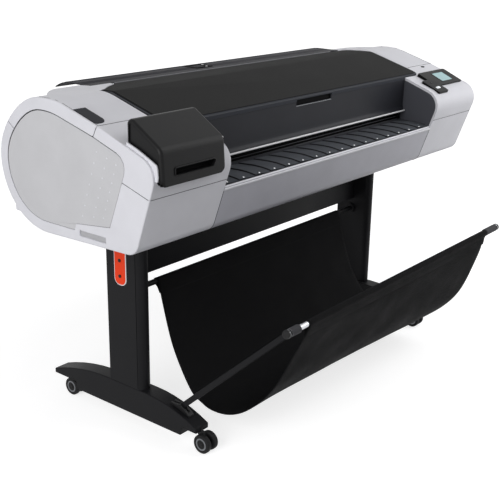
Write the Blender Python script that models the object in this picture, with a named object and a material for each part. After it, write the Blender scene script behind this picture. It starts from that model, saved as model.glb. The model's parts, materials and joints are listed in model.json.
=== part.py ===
"""Large format plotter on a wheeled stand, with a fabric catch bin in front.

Metres, X along the width, front towards -Y, Z up. Every piece is modelled with y = 0 at the middle of the
posts; the empty "plotter" then sets the middle of the whole footprint on the origin.
"""
import math

import bmesh
import bpy
from mathutils import Matrix, Vector

# Clearances and walls
GAP = 0.0003            # a piece to its seat
SEAM = 0.0008           # one cover to the next
WALL = 0.003            # moulded cover
SHEET = 0.003           # folded steel
FAR = 2.0               # past everything, for cuts that go right through
OVER = 0.010            # past a face, for cuts that start or end there

# Printer body
HALF_WIDTH = 0.885      # to the outside of an end
MIDDLE_HALF = 0.585     # middle section between the two ends
BODY_TOP = 1.050
BODY_BOTTOM = 0.6695
PART = (BODY_TOP - BODY_BOTTOM) / 380.5   # heights on the body are drawn in these parts of its own height
BACK_ARC_Y = 0.050      # centre of the round back of an end
BACK_FLAT = 0.04        # the upper half of that back is flatter by this share
BROW_Y = -0.010         # where the flat top starts to fall
BROW_R = 0.200
TOP_SEAM = (-0.170, BODY_TOP - 48.5 * PART)
NOSE = (-0.384, BODY_TOP - 126.5 * PART)
NOSE_R = 0.060
CHIN = (-0.299, BODY_BOTTOM + 8 * PART)
CHIN_R = 0.042
SHOULDER = ((0.155, 50), (0.140, 20), (0.100, 4), (-0.030, 2))   # squared top of the back next to the roll:
SHOULDER_ROOT = 110     # metres behind the arc's centre, parts below the top; it starts this far down
SHOULDER_SWEEP = (0.560, -0.150, 0.360)   # circle seen from above that brings it back into the end: x, y, radius
FRONT_SEAM_Z = BODY_TOP - 212 * PART
FRONT_SEAM_RISE = 30 * PART      # the seam climbs this much from the front to the side panel
BACK_SEAM = math.radians(36)     # seam round the back, as an angle on its arc
LIP_Z = BODY_TOP - 238 * PART         # top of the front fascia
LIP_DEPTH = 0.022

# Side panel in an end
PANEL_INSET = 0.033
SEAM_HIDE = 0.008       # the seams go on this far behind the panel's edge before they meet
PANEL_TOP = (0.009, BODY_TOP - PANEL_INSET)
PANEL_SEAM = (-0.155, BODY_TOP - 78 * PART)
PANEL_NOSE = (-0.281, BODY_TOP - 121 * PART)
PANEL_CHIN = (-0.207, BODY_BOTTOM + 67.5 * PART)
PANEL_NOTCH = (-0.075, BODY_BOTTOM + 52.5 * PART)
PANEL_STEP = (-0.067, BODY_BOTTOM + PANEL_INSET)
PANEL_TOP_R = 0.250
PANEL_NOSE_R = 0.042
PANEL_CHIN_R = 0.006
PANEL_NOTCH_R = 0.003
GRIP_SLOT_Y = (-0.191, -0.086)
GRIP_SLOT_Z = (BODY_BOTTOM + 20 * PART, BODY_BOTTOM + 38 * PART)

# Base pan and side plates
PAN_FRONT = -0.186
PAN_HALF = HALF_WIDTH - 0.028
PAN_LIP = 0.025
PAN_TOP = BODY_BOTTOM + SHEET
FLOOR = PAN_TOP + GAP   # underside of what stands on the pan
LIP_CLEAR = 0.003       # side plates to the pan's lips
PLATE_X = MIDDLE_HALF + 0.055

# Lid
LID_LEFT = -MIDDLE_HALF - 0.110
LID_RIGHT = MIDDLE_HALF + 0.108
LID_REAR = 0.112
LID_FRONT = -0.225
LID_SKIRT = 0.006
LID_PANEL_T = 0.002
LID_PANEL_INSET = 0.010
LID_FALL = 0.063                 # front edge below the crown, as the ends' own top falls
LID_REAR_FALL = 0.004
LID_CROWN_Y = -0.010
LID_TOP = BODY_TOP - LID_PANEL_T - GAP
LID_EDGE_Z = LID_TOP - LID_FALL - LID_SKIRT    # lower edge of the front skirt
LID_CUT = 0.005                  # the ends are cut away this far below that edge
LID_REAR_R = 0.040               # rear corners of the lid
LID_HOLE_R = 0.031               # and of its opening, tighter so that the lid's corners can turn in it
LID_FRONT_R = (0.012, 0.030)     # left and right front corners
WINDOW_HALF = MIDDLE_HALF - 0.007
WINDOW_FOOT = (-0.224, BODY_TOP - 187 * PART)
WINDOW_LIP_R = 0.005
LID_GRIP_X = (-0.098, 0.098)
LID_GRIP_Z = (LID_EDGE_Z - 0.018, LID_EDGE_Z + 0.002)

# Platen
PLATEN_T = 0.004
PLATEN_REAR = (WINDOW_FOOT[0] - 0.006, WINDOW_FOOT[1] - 0.038)
PLATEN_TAIL = (WINDOW_FOOT[0] + 0.040, WINDOW_FOOT[1] - 0.036)
CHEEK_INSET = 0.008

# Ink cover
INK_X = (-HALF_WIDTH + 0.015, -MIDDLE_HALF - 0.045)
INK_REAR_Y = -0.262
INK_TOP_Z = BODY_TOP - 7 * PART
INK_REAR_FOOT_Z = INK_TOP_Z - 0.072
INK_BROW = (-0.381, BODY_TOP - 82 * PART)
INK_FOOT = (-0.388, BODY_TOP - 176 * PART)
INK_TOP_R = 0.012
INK_BROW_R = 0.020
INK_CORNER_R = 0.016
INK_SLOT_X = (INK_X[0] + 0.047, INK_X[1] - 0.038)
INK_SLOT_Z = (INK_FOOT[1] + 0.024, INK_FOOT[1] + 0.042)

# Paper roll bay
ROLL_SPACE = 0.114      # from the spindle's axis to the top and to the back of the bay
ROLL_Y = 0.235
ROLL_Z = BODY_TOP - ROLL_SPACE
COVER_R = 0.130
COVER_Y = 0.205
COVER_TOP = BODY_TOP - 1.5 * PART
COVER_END = math.radians(58.5)
COVER_HALF = MIDDLE_HALF + 0.0622
COVER_HINGE_GAP = 0.006
COVER_HINGE_DROP = 0.0015
BAY_FRONT = 0.100
BAY_FLOOR = BODY_TOP - 220 * PART
TROUGH_FOOT_Z = ROLL_Z - 0.062
TROUGH_TOP_Z = ROLL_Z - 0.026
TROUGH_START = -10      # where the rear panel leaves the arc of the back, in degrees
SPINDLE_R = 0.020
SPINDLE_HUB_R = 0.058
SPINDLE_HUB_T = 0.012
SPINDLE_HUB_X = MIDDLE_HALF - 0.019
JOURNAL_R = 0.010
JOURNAL_END = 0.004     # journals past the side plates

# Paper feed
FEED_Y = -0.040
FEED_Z = BODY_TOP - 205 * PART
FEED_R = 0.015
FEED_HALF = MIDDLE_HALF + 0.015
FEED_JOURNAL_R = 0.008
PINCH_R = 0.008
PINCH_SHORT = 0.020     # pinch roller shorter than the feed roller at each end
PINCH_JOURNAL_R = 0.005
FEED_MOTOR_R = 0.035
FEED_MOTOR_L = 0.055

# Carriage
RAIL_Y = (-0.062, -0.022)
RAIL_Z = (BODY_TOP - 145 * PART, BODY_TOP - 105 * PART)
RAIL_HALF = HALF_WIDTH - 0.045
CARRIAGE_L = 0.140
CARRIAGE_X = HALF_WIDTH - 0.175
CARRIAGE_FRONT = -0.165
CARRIAGE_FLOOR = RAIL_Z[0] - 0.023
CARRIAGE_TOP = RAIL_Z[1] + 0.030
HEAD_W = 0.028
HEAD_DROP = 0.004
HEAD_INSET = 0.020
HOOK_T = 0.008
HOOK_DROP = 0.020
PULLEY_X = HALF_WIDTH - 0.075
PULLEY_Y = 0.010
PULLEY_R = 0.012
PULLEY_BORE = 0.003
BELT_Z = (RAIL_Z[1] + 0.007, RAIL_Z[1] + 0.017)
BELT_T = 0.0016
PIN_RISE = 0.003        # pulley pins above the belt
IDLER_SHELF = (0.060, 0.005)
MOTOR_SIDE = 0.042
MOTOR_DEPTH = 0.054

# Ink supply, service station and electronics
RACK_X = (-HALF_WIDTH + 0.035, -PLATE_X - SHEET - 0.003)
RACK_Y = (-0.345, -0.150)
RACK_TOP = CARRIAGE_FLOOR - 0.010
RACK_T = 0.012
RACK_LEG_Y = PAN_FRONT + SHEET + 0.001
CARTRIDGES = 6
CARTRIDGE_W = 0.028
CARTRIDGE_REAR = -0.275
CARTRIDGE_TOP = BODY_TOP - 95 * PART
CARTRIDGE_BASE = 0.010
STATION_X = (PLATE_X + SHEET + 0.007, HALF_WIDTH - 0.115)
STATION_Y = (-0.165, -0.075)
STATION_TOP = CARRIAGE_FLOOR - 0.010
STATION_WALL = 0.010
STATION_BASIN = 0.030
BOARD_X = (-0.480, -0.200)
BOARD_Y = 0.020
BOARD_H = 0.120
BOARD_T = 0.002
CHIPS = 4
CHIP_SIZE = (0.030, 0.007, 0.045)
CHIP_PITCH = 0.062
SUPPLY_X = (0.180, 0.420)
SUPPLY_Y = (-0.120, 0.040)
SUPPLY_H = 0.075
INLET_X = (0.280, 0.312)
INLET_Z = (BODY_BOTTOM + 32.5 * PART, BODY_BOTTOM + 58.5 * PART)
INLET_REACH = 0.005

# Control panel on the right upper cover, measured along its own face
PANEL_X = (HALF_WIDTH - 0.225, HALF_WIDTH - 0.023)
PANEL_V = (-0.066, -0.158)
TAB_X = (PANEL_X[0] - 0.043, PANEL_X[0] + 0.032)
TAB_V = (-0.113, -0.196)
PANEL_LIFT = (0.012, 0.003)      # the face over the slope, at the panel's top and at the tab's foot
PANEL_R = 0.008
PANEL_INNER_R = 0.003
PANEL_ROOT = 0.030               # how deep the panel is drawn before the cover's form is taken out of it
DISPLAY_X = (PANEL_X[0] + 0.074, PANEL_X[1] - 0.045)
DISPLAY_V = (-0.084, -0.140)
DISPLAY_DEPTH = 0.002
POWER_AT = (TAB_X[0] + 0.036, -0.168)
POWER_SIZE = (0.026, 0.010)
MENU_AT = (TAB_X[0] + 0.036, -0.135)
MENU_SIZE = (0.010, 0.008)
BUTTON_R = 0.002
BUTTON_PROUD = 0.001
BUTTON_T = 0.0035

# Stand
POST_OUT = MIDDLE_HALF + 0.073
POST_W = 0.045
POST_HALF_D = 0.062
POST_WALL = 0.003
FOOT_W = 0.058
FOOT_TOP = 0.128
FOOT_FLAT = (-0.092, 0.072)
TOE_Y = -0.302
HEEL_Y = 0.335
TOE_TOP = 0.078
FOOT_UNDER = 0.036
CASTER_UNDER = 0.062
CASTER_CLEAR = 0.052
WELL_SLOPE = 0.006
FOOT_WALL = 0.004
FOOT_END = 0.016        # solid stretch between a caster's well and the channel
CHANNEL_RISE = 0.020
BEAM_Y = (-0.012, 0.038)
BEAM_Z = (0.474, 0.574)
WHEEL_R = 0.030
WHEEL_W = 0.018
FORK_W = 0.012
FORK_HUB_R = 0.011
FORK_NECK = 0.014
TRAIL = 0.020
AXLE_R = 0.004
STEM_R = 0.0055
STEM_H = 0.010
CASTER_Y = (-0.297, 0.282)

# Catch bin
BACK_ROD = (-0.002, 0.432)
BACK_ROD_R = 0.009
ROD_FLANGE_R = 0.020
ROD_FLANGE_T = 0.008
ARM_PIVOT = (-0.225, 0.119)
ARM_X = POST_OUT - 0.026
ARM_T = 0.007
ARM_W = 0.018
FRONT_ROD = (-0.612, 0.470)
FRONT_ROD_R = 0.008
FRONT_CAP_R = 0.0115
FRONT_CAP_X = ARM_X - 0.044
ROD_END = 0.006
NUT_T = 0.004
CLIP_L = 0.076
CLIP_EAR = 0.007
CLIP_SHOULDER = 0.006
CLIP_SEAT = 0.0006      # a clip over the facets of the foot's curve
SLOT_CLEAR = 0.002
PIN_R = 0.004
PIN_HOLD = 0.003        # a pin's ends in the clip's ears
CLOTH_T = 0.002
CLOTH_BACK_HALF = 0.510
CLOTH_FRONT_HALF = 0.548
CLOTH_SAG = ((-0.059, 0.276), (-0.097, 0.193), (-0.158, 0.106), (-0.205, 0.081), (-0.249, 0.071))
CLOTH_RISE = ((-0.251, 0.071), (-0.315, 0.080), (-0.380, 0.112), (-0.445, 0.168), (-0.503, 0.240),
              (-0.560, 0.345), (-0.600, 0.425))

ROUND = 28              # sides of a turned piece
REAR_REACH = ROLL_Y + ROLL_SPACE
FRONT_REACH = -FRONT_ROD[0] + FRONT_CAP_R
STAND_Y = (FRONT_REACH - REAR_REACH) / 2

FINISHES = {
    "shell": ((0.62, 0.62, 0.66), 0.45, 0.0),
    "panel": ((0.52, 0.52, 0.53), 0.5, 0.0),
    "fascia": ((0.50, 0.50, 0.54), 0.4, 0.2),
    "dark": ((0.035, 0.035, 0.04), 0.45, 0.0),
    "matte": ((0.05, 0.05, 0.05), 0.75, 0.0),
    "black": ((0.018, 0.018, 0.019), 0.45, 0.0),
    "stand": ((0.015, 0.015, 0.016), 0.5, 0.2),
    "tyre": ((0.02, 0.02, 0.02), 0.7, 0.0),
    "steel": ((0.55, 0.56, 0.58), 0.35, 0.9),
    "rod": ((0.70, 0.71, 0.73), 0.3, 0.9),
    "rubber": ((0.04, 0.04, 0.04), 0.8, 0.0),
    "cloth": ((0.012, 0.012, 0.012), 0.95, 0.0),
    "screen": ((0.35, 0.62, 0.66), 0.15, 0.0),
    "lit": ((0.85, 0.87, 0.90), 0.3, 0.0),
    "board": ((0.03, 0.20, 0.09), 0.5, 0.0),
    "ink": ((0.06, 0.09, 0.16), 0.5, 0.0),
}


def clear_scene():
    """Remove whatever the scene holds."""
    for item in list(bpy.data.objects):
        bpy.data.objects.remove(item, do_unlink=True)


def arc(centre, radius, start, end, steps):
    """Points on a circle between two angles in degrees, ends included."""
    turn = [math.radians(start + (end - start) * i / steps) for i in range(steps + 1)]
    return [(centre[0] + radius * math.cos(a), centre[1] + radius * math.sin(a)) for a in turn]


def rounded(corners, steps=4):
    """Outline of corners (a, b, radius), each rounded with an arc where its radius is above zero."""
    points = []
    count = len(corners)
    for i, (a, b, radius) in enumerate(corners):
        here = Vector((a, b))
        if radius <= 0:
            points.append((a, b))
            continue
        back = (Vector(corners[i - 1][:2]) - here).normalized()
        ahead = (Vector(corners[(i + 1) % count][:2]) - here).normalized()
        half = back.angle(ahead) / 2
        middle = here + (back + ahead).normalized() * radius / math.sin(half)
        first = here + back * radius / math.tan(half) - middle
        last = here + ahead * radius / math.tan(half) - middle
        turn = first.angle_signed(last)
        for k in range(steps + 1):
            ray = Matrix.Rotation(-turn * k / steps, 2) @ first
            points.append(tuple(middle + ray))
    return points


def area(outline):
    """Signed area of an outline, positive when it runs anticlockwise."""
    return sum(p[0] * q[1] - q[0] * p[1] for p, q in zip(outline, outline[1:] + outline[:1])) / 2


def offset(outline, inset):
    """The outline drawn in by inset, or let out where it is negative."""
    outline = list(outline)
    if area(outline) < 0:
        outline.reverse()
    moved = []
    for i, point in enumerate(outline):
        before = (Vector(point) - Vector(outline[i - 1])).normalized()
        after = (Vector(outline[(i + 1) % len(outline)]) - Vector(point)).normalized()
        normal = Vector((-before.y - after.y, before.x + after.x)).normalized()
        stretch = max(0.3, normal.dot(Vector((-before.y, before.x))))
        moved.append(tuple(Vector(point) + normal * inset / stretch))
    return moved


def band(path, thickness):
    """Outline of a strip of constant thickness centred on an open path."""
    left = []
    right = []
    for i, point in enumerate(path):
        here = Vector(point)
        before = (here - Vector(path[i - 1])).normalized() if i else None
        after = (Vector(path[i + 1]) - here).normalized() if i + 1 < len(path) else None
        before = before or after
        after = after or before
        normal = Vector((-before.y - after.y, before.x + after.x)).normalized()
        reach = thickness / 2 / max(0.3, normal.dot(Vector((-before.y, before.x))))
        left.append(tuple(here + normal * reach))
        right.append(tuple(here - normal * reach))
    return left + right[::-1]


def eased(points, steps=4):
    """A smooth open path through the points (Catmull-Rom)."""
    knots = [Vector(p) for p in [points[0], *points, points[-1]]]
    path = []
    for before, here, after, beyond in zip(knots, knots[1:], knots[2:], knots[3:]):
        for k in range(steps):
            t = k / steps
            bend = (2 * before - 5 * here + 4 * after - beyond) * t ** 2
            twist = (3 * here - before - 3 * after + beyond) * t ** 3
            path.append(tuple((2 * here + (after - before) * t + bend + twist) / 2))
    return path + [points[-1]]


def rectangle(first, second):
    """Outline of a rectangle from its two ranges."""
    return [(first[0], second[0]), (first[1], second[0]), (first[1], second[1]), (first[0], second[1])]


def prism(axis, outline, low, high):
    """Solid with a flat outline drawn out along an axis."""
    order = {"X": lambda a, b, t: (t, a, b), "Y": lambda a, b, t: (a, t, b), "Z": lambda a, b, t: (a, b, t)}[axis]
    solid = bmesh.new()
    floor = [solid.verts.new(order(a, b, low)) for a, b in outline]
    roof = [solid.verts.new(order(a, b, high)) for a, b in outline]
    solid.faces.new(floor)
    solid.faces.new(roof)
    for i in range(len(outline)):
        k = (i + 1) % len(outline)
        solid.faces.new((floor[i], floor[k], roof[k], roof[i]))
    bmesh.ops.recalc_face_normals(solid, faces=solid.faces)
    return solid


def block(xs, ys, zs):
    """Box from its three ranges."""
    return prism("Z", rectangle(xs, ys), zs[0], zs[1])


def rod(axis, centre, radius, low, high, sides=ROUND):
    """Round bar along an axis, with a flat facet at its lowest point."""
    start = -90.0 + 180.0 / sides
    ring = arc(centre, radius / math.cos(math.pi / sides), start, start + 360.0 * (sides - 1) / sides, sides - 1)
    return prism(axis, ring, low, high)


def mirror_x(solid):
    """The same solid on the other side of the middle plane."""
    bmesh.ops.scale(solid, vec=(-1, 1, 1), verts=solid.verts)
    bmesh.ops.reverse_faces(solid, faces=solid.faces)
    return solid


def on_side(solid, side):
    """A solid modelled at positive X, put on the left (-1) or the right (1)."""
    return solid if side > 0 else mirror_x(solid)


def combine(solid, tool, operation):
    """Boolean of two solids; both are used up."""
    pair = []
    for shape in (solid, tool):
        mesh = bpy.data.meshes.new("shape")
        shape.to_mesh(mesh)
        shape.free()
        item = bpy.data.objects.new("shape", mesh)
        bpy.context.scene.collection.objects.link(item)
        pair.append(item)
    cut_with = pair[0].modifiers.new("combine", "BOOLEAN")
    cut_with.object = pair[1]
    cut_with.operation = operation
    cut_with.solver = "EXACT"
    graph = bpy.context.evaluated_depsgraph_get()
    result = bmesh.new()
    result.from_mesh(pair[0].evaluated_get(graph).to_mesh())
    for item in pair:
        mesh = item.data
        bpy.data.objects.remove(item, do_unlink=True)
        bpy.data.meshes.remove(mesh)
    return result


def cut(solid, *tools):
    """The solid with the tools taken away."""
    for tool in tools:
        solid = combine(solid, tool, "DIFFERENCE")
    return solid


def join(solid, *others):
    """The solid with the others fused to it."""
    for other in others:
        solid = combine(solid, other, "UNION")
    return solid


def meet(solid, tool):
    """What the two solids share."""
    return combine(solid, tool, "INTERSECT")


def add(name, solid, finish, pivot=(0.0, 0.0, 0.0)):
    """Put a finished solid in the scene as a named piece, with its origin on its pivot."""
    bmesh.ops.remove_doubles(solid, verts=solid.verts, dist=0.00001)
    bmesh.ops.translate(solid, vec=-Vector(pivot), verts=solid.verts)
    mesh = bpy.data.meshes.new(name)
    solid.to_mesh(mesh)
    solid.free()
    mesh.shade_smooth()
    mesh.set_sharp_from_angle(angle=math.radians(32))
    piece = bpy.data.objects.new(name, mesh)
    bpy.context.scene.collection.objects.link(piece)
    piece.parent = bpy.data.objects["plotter"]
    piece.location = pivot
    colour, roughness, metallic = FINISHES[finish]
    paint = bpy.data.materials.new(name)
    paint.use_nodes = True
    shader = paint.node_tree.nodes["Principled BSDF"]
    shader.inputs["Base Color"].default_value = (*colour, 1.0)
    shader.inputs["Roughness"].default_value = roughness
    shader.inputs["Metallic"].default_value = metallic
    mesh.materials.append(paint)
    return piece


# Outlines that several pieces share

BACK_R = (BODY_TOP - BODY_BOTTOM) / 2
BACK_ARC = (BACK_ARC_Y, BODY_BOTTOM + BACK_R)
FRONT_CORNERS = [(BROW_Y, BODY_TOP, BROW_R), (*TOP_SEAM, 0.0), (*NOSE, NOSE_R), (*CHIN, CHIN_R)]
LID_LINE = [(LID_REAR, LID_TOP - LID_REAR_FALL), (LID_CROWN_Y, LID_TOP),
            ((LID_CROWN_Y + LID_FRONT) / 2, LID_TOP - LID_FALL / 2), (LID_FRONT, LID_TOP - LID_FALL)]


def closed_by(back, corners, steps):
    """Close the outline of a round back with further corners, rounded where they have a radius."""
    ends = [(*back[0], 0.0), (*back[-1], 0.0)]
    return back[:-1] + rounded(ends + corners, steps)[1:]


def round_back(inset):
    """Back of an end from the bottom to the top, drawn in by inset: half round below, flatter above."""
    points = []
    for turn, (y, z) in zip(range(-90, 91, 6), arc((0, 0), 1.0, -90, 90, 30)):
        radius = BACK_R * (1 - BACK_FLAT * max(math.sin(math.radians(2 * turn)), 0.0) ** 2) - inset
        points.append((BACK_ARC[0] + radius * y, BACK_ARC[1] + radius * z))
    return points


def end_outline():
    """Outline of an end seen from the side: round back, flat top, sloping front."""
    return closed_by(round_back(0.0), FRONT_CORNERS, 6)


def shoulder(inset, start):
    """The squared top of the back of the right end from start outwards, with its walls drawn in by inset."""
    line = eased([(BACK_ARC_Y + behind, BODY_TOP - below * PART) for behind, below in SHOULDER])
    root = BODY_TOP - SHOULDER_ROOT * PART
    outline = [(line[-1][0], root), (line[0][0], root)] + line
    centre = SHOULDER_SWEEP[:2]
    plan = arc(centre, SHOULDER_SWEEP[2], 0, 90, 30) + [centre]
    return meet(prism("X", offset(outline, inset), start, HALF_WIDTH), prism("Z", offset(plan, inset), 0, FAR))


def side_panel_outline():
    """Outline of the D-shaped side panel."""
    corners = [(*PANEL_TOP, PANEL_TOP_R), (*PANEL_SEAM, 0.0), (*PANEL_NOSE, PANEL_NOSE_R),
               (*PANEL_CHIN, PANEL_CHIN_R), (*PANEL_NOTCH, PANEL_NOTCH_R), (*PANEL_STEP, PANEL_NOTCH_R)]
    return closed_by(round_back(PANEL_INSET), corners, 4)


def front_y(z):
    """Depth of the sloping front face at a height."""
    return CHIN[0] + (NOSE[0] - CHIN[0]) * (z - CHIN[1]) / (NOSE[1] - CHIN[1])


def lid_plan(inset, rear_r=LID_REAR_R):
    """Outline of the lid seen from above, drawn in by inset."""
    corners = [(LID_LEFT, LID_REAR, rear_r), (LID_LEFT, LID_FRONT, LID_FRONT_R[0]),
               (LID_RIGHT, LID_FRONT, LID_FRONT_R[1]), (LID_RIGHT, LID_REAR, rear_r)]
    moved = offset([(x, y) for x, y, r in corners], inset)
    return rounded([(*p, max(corner[2] - inset, 0.0)) for p, corner in zip(moved, corners)])


def lid_section(drop, foot, spare=0.0):
    """Outline under the lid's top line, lowered by drop, down to a foot level; spare lets out both ends."""
    line = [(LID_LINE[0][0] + spare, LID_LINE[0][1])] + LID_LINE[1:-1]
    line += [(LID_LINE[-1][0] - spare, LID_LINE[-1][1])]
    top = [(y, z - drop) for y, z in line]
    return [(top[0][0], foot)] + top + [(top[-1][0], foot)]


def ink_front(inset):
    """Outline of the ink cover seen from the front, rounded at its lower corners."""
    corners = [(INK_X[0], INK_FOOT[1], INK_CORNER_R), (INK_X[1], INK_FOOT[1], INK_CORNER_R),
               (INK_X[1], FAR, 0.0), (INK_X[0], FAR, 0.0)]
    return offset(rounded(corners, steps=5), inset)


def seam_regions():
    """Side-view regions of the upper and lower covers of an end; the rest is its rim."""
    front = (front_y(FRONT_SEAM_Z), FRONT_SEAM_Z)
    edge_z = FRONT_SEAM_Z + FRONT_SEAM_RISE
    share = (PANEL_NOSE[1] - edge_z) / (PANEL_NOSE[1] - PANEL_CHIN[1])
    edge_y = PANEL_NOSE[0] + share * (PANEL_CHIN[0] - PANEL_NOSE[0])
    slope = (edge_z - front[1]) / (edge_y - front[0])
    behind = (edge_y + SEAM_HIDE, edge_z + slope * SEAM_HIDE)
    ahead = (-FAR, front[1] + slope * (-FAR - front[0]))
    upper = [behind, PANEL_SEAM, TOP_SEAM, (TOP_SEAM[0], FAR), (-FAR, FAR), ahead]
    back = (BACK_ARC[0] + FAR * math.cos(BACK_SEAM), BACK_ARC[1] + FAR * math.sin(BACK_SEAM))
    lower = [behind, ahead, (-FAR, -FAR), (back[0], -FAR), back, BACK_ARC]
    return upper, lower


def end_shell():
    """Hollow shell of the right end, open towards the middle section, before it is split into covers."""
    start = MIDDLE_HALF - OVER
    bulkhead = COVER_HALF + SEAM
    inside = bulkhead + WALL
    hollow = offset(end_outline(), WALL)
    bay = ((BAY_FRONT, FAR), (BAY_FLOOR, FAR))
    shell = join(prism("X", end_outline(), MIDDLE_HALF, HALF_WIDTH), shoulder(0.0, MIDDLE_HALF + OVER))
    return cut(shell,
               join(prism("X", hollow, inside, HALF_WIDTH - WALL), shoulder(WALL, inside + GAP)),
               cut(prism("X", hollow, start, inside + GAP),
                   block((0, FAR), (BAY_FRONT + GAP, FAR), (BAY_FLOOR + GAP, FAR))),
               block((start, bulkhead), *bay),
               prism("X", side_panel_outline(), HALF_WIDTH - OVER, HALF_WIDTH + OVER),
               block((start, PAN_HALF + SEAM), (PAN_FRONT - SEAM, BACK_ARC_Y + SEAM),
                     (BODY_BOTTOM - OVER, BODY_BOTTOM + OVER)),
               block((HALF_WIDTH - OVER, HALF_WIDTH + OVER), GRIP_SLOT_Y, GRIP_SLOT_Z))


def build_end(side):
    """The rim, two front covers and side panel of one end."""
    word = "left" if side < 0 else "right"
    shell = cut(on_side(end_shell(), side), prism("Z", lid_plan(-SEAM, LID_HOLE_R), LID_EDGE_Z - LID_CUT, FAR))
    upper, lower = seam_regions()
    front = meet(shell.copy(), prism("X", offset(upper, SEAM / 2), -FAR, FAR))
    chin = meet(shell.copy(), prism("X", offset(lower, SEAM / 2), -FAR, FAR))
    rim = cut(shell, prism("X", offset(upper, -SEAM / 2), -FAR, FAR),
              prism("X", offset(lower, -SEAM / 2), -FAR, FAR))
    if side < 0:
        front = cut(front, prism("Y", ink_front(-SEAM), -FAR, INK_REAR_Y + SEAM))
    panel = prism("X", offset(side_panel_outline(), SEAM), HALF_WIDTH - WALL, HALF_WIDTH)
    add(word + "_end_rim", rim, "shell")
    add(word + "_upper_cover", front, "shell")
    add(word + "_lower_cover", chin, "shell")
    add(word + "_side_panel", on_side(panel, side), "panel")


def build_middle():
    """Base pan, front fascia, output platen and rear panel."""
    half = MIDDLE_HALF - SEAM
    rear = BACK_ARC_Y
    tray = [(PAN_FRONT, BODY_BOTTOM), (rear, BODY_BOTTOM), (rear, PAN_TOP + PAN_LIP),
            (rear - SHEET, PAN_TOP + PAN_LIP), (rear - SHEET, PAN_TOP), (PAN_FRONT + SHEET, PAN_TOP),
            (PAN_FRONT + SHEET, PAN_TOP + PAN_LIP), (PAN_FRONT, PAN_TOP + PAN_LIP)]
    add("base_pan", prism("X", tray, -PAN_HALF, PAN_HALF), "steel")

    outline = end_outline()
    fascia = cut(prism("X", outline, -half, half), prism("X", offset(outline, WALL), -FAR, FAR))
    fascia = meet(fascia, block((-FAR, FAR), (-FAR, PAN_FRONT - SEAM), (0, LIP_Z)))
    lip_front = front_y(LIP_Z) + WALL / 3
    lip = block((-half, half), (lip_front, lip_front + LIP_DEPTH), (LIP_Z - WALL, LIP_Z))
    add("front_fascia", join(fascia, lip), "fascia")

    seat = LIP_Z + GAP + PLATEN_T / 2
    path = [(lip_front + PLATEN_T, seat), (lip_front + LIP_DEPTH, seat), PLATEN_REAR, PLATEN_TAIL]
    platen = prism("X", band(path, PLATEN_T), -half, half)
    for side in (-1, 1):
        cheek = meet(prism("X", offset(outline, CHEEK_INSET), half - WALL, half),
                     block((0, FAR), (-FAR, WINDOW_FOOT[0] + CHEEK_INSET), (LIP_Z + GAP, LID_EDGE_Z - OVER)))
        platen = join(platen, on_side(cheek, side))
    add("output_platen", platen, "dark")

    start = -90 + math.degrees((SEAM + WALL) / BACK_R)
    behind = REAR_REACH - WALL / 2
    path = arc(BACK_ARC, BACK_R - WALL / 2, start, TROUGH_START, 10)
    path += [(behind, TROUGH_FOOT_Z), (behind, TROUGH_TOP_Z)]
    panel = prism("X", band(path, WALL), -half, half)
    inlet = block((INLET_X[0] - SEAM, INLET_X[1] + SEAM), (BACK_ARC_Y, FAR), (INLET_Z[0] - SEAM, INLET_Z[1] + SEAM))
    add("rear_panel", cut(panel, inlet), "shell")


def build_lid():
    """Lid with its slanted window, and the matte panel on top of it."""
    outer = meet(prism("X", lid_section(0.0, LID_EDGE_Z), LID_LEFT, LID_RIGHT),
                 prism("Z", lid_plan(0.0), 0, FAR))
    inner = meet(prism("X", lid_section(WALL, LID_EDGE_Z - OVER, OVER), LID_LEFT, LID_RIGHT),
                 prism("Z", lid_plan(WALL), 0, FAR))
    front = LID_FRONT + WALL / 2
    fold = LID_EDGE_Z + LID_SKIRT / 5
    pane = prism("X", band([(front, fold + LID_SKIRT / 3), (front, fold), WINDOW_FOOT], WALL),
                 -WINDOW_HALF, WINDOW_HALF)
    bead = rod("X", WINDOW_FOOT, WINDOW_LIP_R, -WINDOW_HALF, WINDOW_HALF, 12)
    grip = block(LID_GRIP_X, (LID_FRONT - OVER, LID_FRONT + 2 * WALL), LID_GRIP_Z)
    pivot = (0.0, *LID_LINE[0])
    add("window_lid", cut(join(cut(outer, inner), pane, bead), grip), "dark", pivot)

    sheet = [(y, z + GAP) for y, z in LID_LINE]
    sheet += [(y, z + GAP + LID_PANEL_T) for y, z in reversed(LID_LINE)]
    sheet = meet(prism("X", sheet, LID_LEFT, LID_RIGHT), prism("Z", lid_plan(LID_PANEL_INSET), 0, FAR))
    add("lid_top_panel", sheet, "matte", pivot)


def build_ink_cover():
    """Hood over the ink cartridges, open below, with a finger slot in its front."""
    outline = rounded([(INK_REAR_Y, INK_REAR_FOOT_Z, 0.0), (INK_REAR_Y, INK_TOP_Z, INK_TOP_R),
                       (*INK_BROW, INK_BROW_R), (*INK_FOOT, 0.0)])
    hollow = [(INK_REAR_Y - WALL, 0.0, 0.0), (INK_REAR_Y - WALL, INK_TOP_Z - WALL, INK_TOP_R - WALL),
              (INK_BROW[0] + WALL, INK_BROW[1] - WALL / 2, INK_BROW_R - WALL), (INK_FOOT[0] + WALL, 0.0, 0.0)]
    hood = meet(prism("X", outline, *INK_X), prism("Y", ink_front(0.0), -FAR, FAR))
    hood = cut(hood, prism("X", rounded(hollow), INK_X[0] + WALL, INK_X[1] - WALL),
               block(INK_SLOT_X, (INK_FOOT[0] - OVER, INK_FOOT[0] + 2 * OVER), INK_SLOT_Z))
    add("ink_cover", hood, "black", (0.0, INK_REAR_Y, INK_TOP_Z))


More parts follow.
